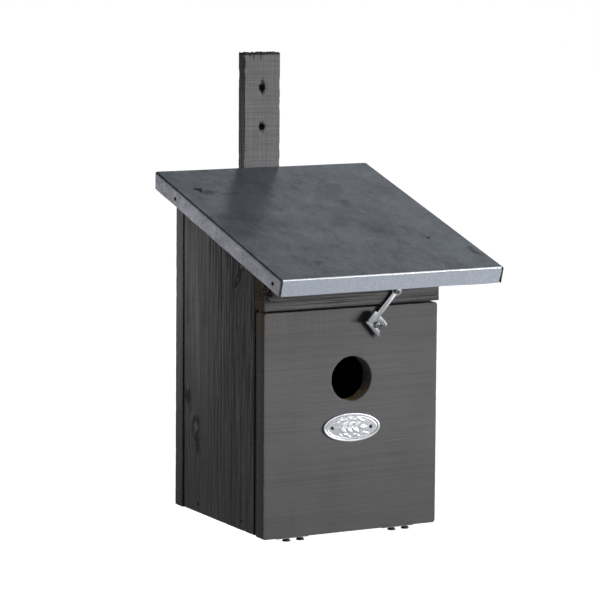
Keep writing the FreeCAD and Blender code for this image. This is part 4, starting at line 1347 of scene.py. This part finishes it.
class NESTBOX_OT_hook(bpy.types.Operator):
    """Makes the hook, stamped from sheet with its finger tab folded up"""

    bl_idname = "nest_box.hook"
    bl_label = "Hook"

    # Lengths in millimetres, with the pivot at the origin and the keeper along +X
    thick = 1.2
    fold_angle = math.radians(80.0)
    fold_inner = 0.5
    tab_height = 5.4
    reach = 28.21
    slot = 1.6
    eye, eye_hole, half_arm = 3.9, 1.55, 1.9
    soft = 0.16
    # The fold line's ends, the way along it and the way out over it
    shoulder, heel = Vector((reach - 7.6, -8.1)), Vector((reach + 2.9, -9.4))
    along = (heel - shoulder).normalized()
    out = Vector((along.y, -along.x))
    root = -math.tan(fold_angle / 2) * (fold_inner + thick)

    def corners(self):
        """The outline's corners with their radii."""
        reach, slot, heel, shoulder = self.reach, self.slot, self.heel, self.shoulder
        flat = self.fold_angle * (self.fold_inner + self.thick / 2) + self.tab_height + self.root
        tip = self.out * (self.root + flat)
        yield Vector((reach - 6.9, -0.85)), 0.8
        yield Vector((reach - 4.9, 7.4)), 0.9
        yield Vector((reach - 2.5, 7.4)), 0.9
        yield Vector((reach - slot, 0.3)), 0.0
        for step in range(1, 12):
            angle = math.radians(180.0 + 15.0 * step)
            yield Vector((reach + slot * math.cos(angle), slot * math.sin(angle))), 0.0
        yield Vector((reach + slot, 0.3)), 0.0
        yield Vector((reach + 2.2, 4.9)), 2.2
        yield Vector((reach + 6.6, 7.4)), 0.8
        yield heel, 0.15
        yield heel + tip - self.along * 0.8, 0.7
        yield shoulder + tip + self.along * 0.8, 0.7
        yield shoulder, 0.15
        yield Vector((reach - 7.6, -4.65)), 0.5

    def round_corners(self):
        """The outline's points with its corners drawn round."""
        outline = list(self.corners())
        points = []
        for number, (corner, radius) in enumerate(outline):
            before, after = outline[number - 1][0], outline[(number + 1) % len(outline)][0]
            if radius <= 0.0:
                points.append(corner)
                continue
            first, second = (before - corner).normalized(), (after - corner).normalized()
            reach = radius / math.tan(first.angle(second) / 2)
            reach = min(reach, 0.45 * (before - corner).length, 0.45 * (after - corner).length)
            start, end = corner + first * reach, corner + second * reach
            for step in range(6):
                t = step / 5
                points.append(start * (1 - t) ** 2 + corner * 2 * t * (1 - t) + end * t * t)
        return points

    def execute(self, context):
        body = self.round_corners()
        # The eye's ring, from the arm's lower edge round to its upper one
        turns = []
        for side, end in ((-self.half_arm, body[-1]), (self.half_arm, body[0])):
            start = Vector((0.0, side))
            way = (end - start).normalized()
            reach = -start.dot(way) + math.sqrt(start.dot(way) ** 2 - start.dot(start) + self.eye * self.eye)
            point = start + way * reach
            turns.append(math.atan2(point.y, point.x))
        first, last = turns
        sweep = math.tau - (last - first)
        angles = [first - sweep * step / 32 for step in range(33)]
        outer = body + [Vector((math.cos(angle), math.sin(angle))) * self.eye for angle in angles]
        angles = [math.tau * step / 28 for step in range(28)]
        hole = [Vector((math.cos(angle), math.sin(angle))) * self.eye_hole for angle in angles]
        mesh = self.stamp(context, outer, hole)
        self.fold(mesh)
        self.seat(mesh)
        finish = plated_steel("hook_steel", context.scene.nest_box_metal.hook, 0.34, 0.35, 0.06)
        finish_mesh("hook", mesh, finish, "latch", "latch_hook", 18.0)
        return {"FINISHED"}

    def stamp(self, context, outer, hole):
        """A flat plate with softened edges, its thickness centred on z = 0."""
        curve = bpy.data.curves.new("hook_blank", "CURVE")
        curve.dimensions = "2D"
        curve.fill_mode = "BOTH"
        curve.extrude = self.thick / 2 - self.soft
        curve.bevel_depth = self.soft
        curve.bevel_resolution = 2
        curve.offset = -self.soft
        for ring in (outer, hole):
            line = curve.splines.new("POLY")
            line.points.add(len(ring) - 1)
            for point, place in zip(line.points, ring):
                point.co = (place.x, place.y, 0.0, 1.0)
            line.use_cyclic_u = True
        blank = bpy.data.objects.new("hook_blank", curve)
        context.scene.collection.objects.link(blank)
        made = blank.evaluated_get(context.evaluated_depsgraph_get())
        mesh = bpy.data.meshes.new_from_object(made)
        bpy.data.objects.remove(blank)
        bpy.data.curves.remove(curve)
        return mesh

    def fold(self, mesh):
        """Folds what lies past the fold line up towards the front."""
        out = self.out
        radius = self.fold_inner + self.thick / 2
        length = self.fold_angle * radius
        base = self.shoulder + out * self.root
        centre = self.thick / 2 + self.fold_inner
        work = bmesh.new()
        work.from_mesh(mesh)
        bmesh.ops.remove_doubles(work, verts=work.verts, dist=1e-4)
        for step in range(9):
            spot = (base + out * (length * step / 8)).to_3d()
            parts = work.verts[:] + work.edges[:] + work.faces[:]
            bmesh.ops.bisect_plane(work, geom=parts, plane_co=spot, plane_no=out.to_3d())
        for corner in work.verts:
            past = (corner.co.xy - base).dot(out)
            if past <= 0.0:
                continue
            angle = min(past, length) / radius
            rest = max(0.0, past - length)
            arm = centre - corner.co.z
            shift = arm * math.sin(angle) + rest * math.cos(angle) - past
            height = centre - arm * math.cos(angle) + rest * math.sin(angle)
            corner.co = Vector((corner.co.x + out.x * shift, corner.co.y + out.y * shift, height))
        bmesh.ops.recalc_face_normals(work, faces=work.faces)
        work.to_mesh(mesh)
        work.free()

    def seat(self, mesh):
        """Turns the hook down to its keeper, in metres."""
        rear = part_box("latch_hook")[1].y
        turn = math.atan2(KEEPER.z - LATCH_PIVOT.z, KEEPER.x - LATCH_PIVOT.x)
        for corner in mesh.vertices:
            x, z, out = corner.co.x * MM, corner.co.y * MM, (corner.co.z + self.thick / 2) * MM
            right = LATCH_PIVOT.x + x * math.cos(turn) - z * math.sin(turn)
            up = LATCH_PIVOT.z + x * math.sin(turn) + z * math.cos(turn)
            corner.co = Vector((right, rear - out, up))


class NESTBOX_OT_plate(bpy.types.Operator):
    """Makes the oval plate with its raised rim and a sprig of leaves"""

    bl_idname = "nest_box.plate"
    bl_label = "Oval Plate"

    # Lengths in millimetres
    half_length, half_height = 22.5, 10.0
    thick, rim, rise = 0.8, 1.7, 0.5
    wreath_length, wreath_height = 15.2, 6.0
    columns, field_rows, rim_rows, wreath_leaves = 300, 56, 9, 26
    # The plate's edge and underside: height, and how far in from the edge
    edge = ((0.5, -0.06), (0.25, -0.06), (0.0, 0.1))

    def leaves(self):
        """Roots, lengths, half widths and directions of the pressed leaves."""
        # A stem with three pairs of leaves and one at its end
        found = [(Vector((-12.0, 0.0)), 19.0, 0.4, 0.0), (Vector((6.2, 0.0)), 6.2, 1.6, 0.0)]
        for step in range(3):
            for side in (-1, 1):
                root = Vector((-8.8 + 5.0 * step + 0.5 * side, 0.0))
                found.append((root, 6.4, 1.6, math.radians(37.0) * side))
        # The wreath follows the rim and leaves room for the two pins.
        long, high = self.wreath_length, self.wreath_height
        for step in range(self.wreath_leaves):
            angle = math.tau * (step + 0.5) / self.wreath_leaves
            root = Vector((long * math.cos(angle), high * math.sin(angle)))
            if abs(root.x) < 12.0:
                along = math.atan2(high * math.cos(angle), -long * math.sin(angle))
                lean = math.radians(17.0) * (1 if step % 2 else -1)
                found.append((root, 4.2, 0.8, along + lean))
        return found

    def relief(self, a, b, leaves):
        """Height of the pressed leaves at a place on the plate, as a share of the whole."""
        tall = 0.0
        for root, long, wide, way in leaves:
            off_a, off_b = a - root.x, b - root.y
            share = (off_a * math.cos(way) + off_b * math.sin(way)) / long
            if not 0.0 < share < 1.0:
                continue
            width = off_b * math.cos(way) - off_a * math.sin(way)
            half = wide * math.sin(math.pi * share ** 0.8)
            inside = 1 - (width / half) ** 2 if half > 0.05 else 0.0
            if inside > 0.0:
                vein = 0.4 * math.exp(-((width / 0.14) ** 2))
                tall = max(tall, math.sqrt(inside) - vein)
        return tall

    def height(self, inset, share, a, b, sprig, leaves):
        """Height of the face: a field with a fine line round it, and a rounded rim."""
        if share < 1.0:
            pebble = 0.03 * noise.noise(Vector((a * 2.2, b * 2.2, 4.0)))
            line = 0.16 * math.exp(-(((1.0 - share) - 0.06) / 0.018) ** 2)
            clear = 1.0 - clamp((share - 0.84) / 0.06)
            pressed = sprig * clear * self.relief(a, b, leaves)
            return self.thick + 0.12 * (1 - share * share) + pebble + line + pressed
        across = 1 - inset / self.rim
        bead = min(1.0, 4.5 * across * (1.0 - across) + 0.75 * across * across * across)
        return self.thick + self.rise * bead ** 0.7

    def execute(self, context):
        metal = context.scene.nest_box_metal
        sprig = metal.sprig / MM
        leaves = self.leaves()

        def ring(inset, share, level=None):
            """A ring of points at a level, or else on the pressed face."""
            row = []
            for number in range(self.columns):
                angle = math.tau * number / self.columns
                a = (self.half_length - inset) * share * math.cos(angle)
                b = (self.half_height - inset) * share * math.sin(angle)
                height = self.height(inset, share, a, b, sprig, leaves) if level is None else level
                x = a * math.cos(PLATE_TILT) - b * math.sin(PLATE_TILT)
                z = a * math.sin(PLATE_TILT) + b * math.cos(PLATE_TILT)
                row.append(Vector((x * MM, DOOR_LOW.y - height * MM, PLATE_HEIGHT + z * MM)))
            return row

        field = range(1, self.field_rows + 1)
        rows = [ring(self.rim, number / self.field_rows) for number in field]
        rim = range(1, self.rim_rows + 1)
        rows += [ring(self.rim * (1 - number / self.rim_rows), 1.0) for number in rim]
        rows += [ring(inset, 1.0, level) for level, inset in self.edge]
        shape = Shape()
        shape.skin(rows, ends=True)
        finish = plated_steel("plate_silver", metal.plate, 0.33, 0.75, 0.1, low=0.75)
        made = finish_piece("oval_disc", shape, finish, "door", "oval_plate", 60.0)
        level = DOOR_LOW.y - (self.thick + 0.1) * MM
        set_tag(made, "raised", lambda corner: clamp((level - corner.co.y) / (0.14 * MM)))
        return {"FINISHED"}


def head_rows(seat, crown, height, shank, length, dome=0.0, drive=0.0, columns=40):
    """Rows of a fastener in millimetres, from the middle of its head's top down to its point.

    The head looks along +Z and sits on z = 0. drive is the half width of its cross recess.
    """

    def ring(radius, level, recess=False):
        row = []
        for number in range(columns):
            angle = math.tau * number / columns
            x, y = radius * math.cos(angle), radius * math.sin(angle)
            sunk = 0.0
            if recess and drive:
                wall = clamp((drive - min(abs(x), abs(y))) / (0.35 * drive) + 0.5)
                sunk = wall * clamp((2.9 * drive - radius) / (0.5 * drive))
            row.append(Vector((x, y, level - sunk * 0.62 * height)))
        return row

    rows = []
    for number in range(1, 13):
        share = number / 13
        rows.append(ring(crown * share, height + dome * (1 - share * share), True))
    rows.append(ring(crown, height))
    soft = 0.12 * height
    if seat > crown:
        for share in (0.25, 0.5, 0.75):
            bulge = crown + (seat - crown) * math.sin(share * math.pi / 2)
            rows.append(ring(bulge, height * math.cos(share * math.pi / 2) ** 0.8))
        rows.append(ring(seat, soft))
    else:
        rows.append(ring(crown, height - soft))
        rows.append(ring(seat + (crown - seat) * 0.4, height * 0.4))
    rows.append(ring(seat, 0.0))
    rows.append(ring(shank, -0.02))
    rows.append(ring(shank, -length * 0.82))
    rows.append(ring(shank * 0.25, -length))
    return rows


def set_fasteners(name, rows, spots, finish, body, node, turn=0.0):
    """Places copies of a fastener, each given by the middle of its seat and its outward direction."""
    shape = Shape()
    for number, (place, outward) in enumerate(spots):
        facing = Vector(outward).to_track_quat("Z", "Y").to_matrix().to_4x4()
        spin = Matrix.Rotation(math.radians(turn + 37.0 * number), 4, "Z")
        tilt = Matrix.Rotation(math.radians(1.5 * math.sin(5.0 * number)), 4, "X")
        move = Matrix.Translation(place) @ facing @ tilt @ spin @ Matrix.Scale(MM, 4)
        shape.skin(rows, ends=True, move=move)
    finish_piece(name, shape, finish, body, node, 35.0)


class NESTBOX_OT_nails(bpy.types.Operator):
    """Makes the nails of the box and the pins of the plate"""

    bl_idname = "nest_box.nails"
    bl_label = "Nails"

    # Sizes in millimetres: the boards' nails share a head.
    board_nail = {"seat": 1.4, "crown": 0.9, "height": 0.35, "shank": 0.9, "dome": 0.12, "columns": 20}
    pin_reach = 15.5 * MM

    def execute(self, context):
        finish = fastener_steel("nail_steel", 0.2, 0.1, 0.02)
        rise = SIDE_LOW.z + 6.2 * MM
        depths = (SIDE_LOW.y + 21.5 * MM, SIDE_HIGH.y - 22.5 * MM)
        spots = [(Vector((x * DOOR_HIGH.x, y, rise)), (x, 0.0, 0.0)) for y in depths for x in SIDES]
        rows = head_rows(length=26.0, **self.board_nail)
        set_fasteners("wall_nails", rows, spots, finish, "box", "side_nails")

        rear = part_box("back_panel")[1].y
        heights = [SIDE_LOW.z + (38.0 + 80.0 * step) * MM for step in range(3)]
        places = [(x * 63.5 * MM, z) for x in SIDES for z in heights]
        places += [(x * 35.0 * MM, rise) for x in SIDES]
        spots = [(Vector((x, rear, z)), REAR) for x, z in places]
        rows = head_rows(length=28.0, **self.board_nail)
        set_fasteners("rear_nails", rows, spots, finish, "box", "back_nails")

        slopes = (11.2 * MM, roof_length(0.0) - 36.0 * MM)
        spots = [(roof_point(x * HALF_ROOF, v, -7.0 * MM), (x, 0.0, 0.0)) for v in slopes for x in SIDES]
        rows = head_rows(1.4, 1.0, 0.45, 0.9, 14.0, dome=0.15, columns=24)
        set_fasteners("apron_nails", rows, spots, finish, "box", "sheet_nails")

        face, spots = DOOR_LOW.y - 0.82 * MM, []
        for side in SIDES:
            x = side * self.pin_reach * math.cos(PLATE_TILT)
            z = PLATE_HEIGHT + side * self.pin_reach * math.sin(PLATE_TILT)
            spots.append((Vector((x, face, z)), FRONT))
        rows = head_rows(1.3, 0.8, 0.5, 0.7, 7.5, dome=0.15, columns=28)
        finish = fastener_steel("plate_pin_steel", 0.6, 0.15, 0.2)
        set_fasteners("plate_nails", rows, spots, finish, "door", "plate_pins")
        return {"FINISHED"}


class NESTBOX_OT_screws(bpy.types.Operator):
    """Makes the screws of the latch, the hinges and the batten"""

    bl_idname = "nest_box.screws"
    bl_label = "Screws"

    # Sizes in millimetres: the two screws of the latch share a head.
    latch_head = {"seat": 2.2, "crown": 1.2, "height": 1.25, "dome": 0.25, "drive": 0.4, "columns": 56}
    hinge_places = (-48.0, -37.0, 37.0, 48.0)

    def execute(self, context):
        finish = fastener_steel("screw_steel", metallic=0.2)
        bright = plated_steel("latch_screw_steel", context.scene.nest_box_metal.hook, 0.28, 0.6, 0.3)
        spots = [(Vector((LATCH_PIVOT.x, LATCH_SEAT, LATCH_PIVOT.z)), FRONT)]
        rows = head_rows(shank=1.5, length=13.4, **self.latch_head)
        set_fasteners("pivot_screw", rows, spots, bright, "box", "latch_pivot_screw", 20.0)
        spots = [(Vector((KEEPER.x, LATCH_SEAT, KEEPER.z)), FRONT)]
        rows = head_rows(shank=1.3, length=12.6, **self.latch_head)
        set_fasteners("keeper_screw", rows, spots, bright, "door", "latch_keeper_screw", 55.0)

        rows = head_rows(1.6, 3.0, 2.5, 1.3, 9.9, drive=0.5, columns=56)
        for body, part in (("door", "door"), ("box", "floor")):
            node = f"hinge_{part}_screws"
            low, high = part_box(node)
            middle = (low.y + high.y) / 2
            spots = [(Vector((x * MM, middle, 2.5 * MM)), DOWN) for x in self.hinge_places]
            set_fasteners(f"leaf_{part}_screws", rows, spots, finish, body, node)

        rows = head_rows(1.75, 3.5, 2.0, 1.75, 17.0, dome=0.2, drive=0.6, columns=56)
        rear = BATTEN_HIGH.y - 1.7 * MM
        heights = [BATTEN_LOW.z + (30.0 + 85.0 * step) * MM for step in range(3)]
        spots = [(Vector((0.0, rear, height)), REAR) for height in heights]
        set_fasteners("batten_fixings", rows, spots, finish, "box", "batten_screws")
        return {"FINISHED"}


class NESTBOX_OT_hinges(bpy.types.Operator):
    """Gives the hinges, the washer and the hidden nails their finish"""

    bl_idname = "nest_box.hinges"
    bl_label = "Hinges"

    leaves = [f"{side}_hinge_{leaf}_leaf" for side in ("left", "right") for leaf in ("floor", "door")]

    def execute(self, context):
        plated = plated_steel("hinge_steel", context.scene.nest_box_metal.hook, 0.38, 0.8, 0.35)
        dull = fastener_steel("pin_steel")
        finishes = dict.fromkeys([*self.leaves, "latch_washer"], plated)
        finishes.update(dict.fromkeys(["left_hinge_pin", "right_hinge_pin", "roof_nails"], dull))
        for node, finish in finishes.items():
            mesh = frame["nodes"][node].data
            mesh.materials.clear()
            mesh.materials.append(finish)
        return {"FINISHED"}


class NESTBOX_PT_panel(bpy.types.Panel):
    """Lists the pieces of the nest box and what can be changed"""

    bl_label = "Nest Box"
    bl_idname = "NESTBOX_PT_panel"
    bl_space_type = "VIEW_3D"
    bl_region_type = "UI"
    bl_category = "Nest Box"

    def draw(self, context):
        for title in ("Wood", "Metal", "Stage"):
            group = getattr(context.scene, f"nest_box_{title.lower()}")
            box = self.layout.box()
            box.label(text=title)
            for name in group.__annotations__:
                box.prop(group, name)
        box = self.layout.box()
        box.label(text="Pieces")
        for operator in OPERATORS:
            box.operator(operator.bl_idname)


GROUPS = {
    "nest_box_wood": NestBoxWood,
    "nest_box_metal": NestBoxMetal,
    "nest_box_stage": NestBoxStage,
}
OPERATORS = (
    NESTBOX_OT_stage,
    NESTBOX_OT_boards,
    NESTBOX_OT_door,
    NESTBOX_OT_batten,
    NESTBOX_OT_roof_sheet,
    NESTBOX_OT_hook,
    NESTBOX_OT_plate,
    NESTBOX_OT_nails,
    NESTBOX_OT_screws,
    NESTBOX_OT_hinges,
)
CLASSES = (*GROUPS.values(), *OPERATORS, NESTBOX_PT_panel)


def register():
    for each in CLASSES:
        bpy.utils.register_class(each)
    for name, group in GROUPS.items():
        setattr(bpy.types.Scene, name, bpy.props.PointerProperty(type=group))


def unregister():
    for name in GROUPS:
        delattr(bpy.types.Scene, name)
    for each in reversed(CLASSES):
        bpy.utils.unregister_class(each)


def main():
    """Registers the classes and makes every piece."""
    register()
    for operator in OPERATORS:
        group, name = operator.bl_idname.split(".")
        getattr(getattr(bpy.ops, group), name)()
    boxes = {"cad": CAD_BOX, "visual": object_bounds()}
    sizes = {name: [list(corner) for corner in corners] for name, corners in boxes.items()}


if __name__ == "__main__":
    main()
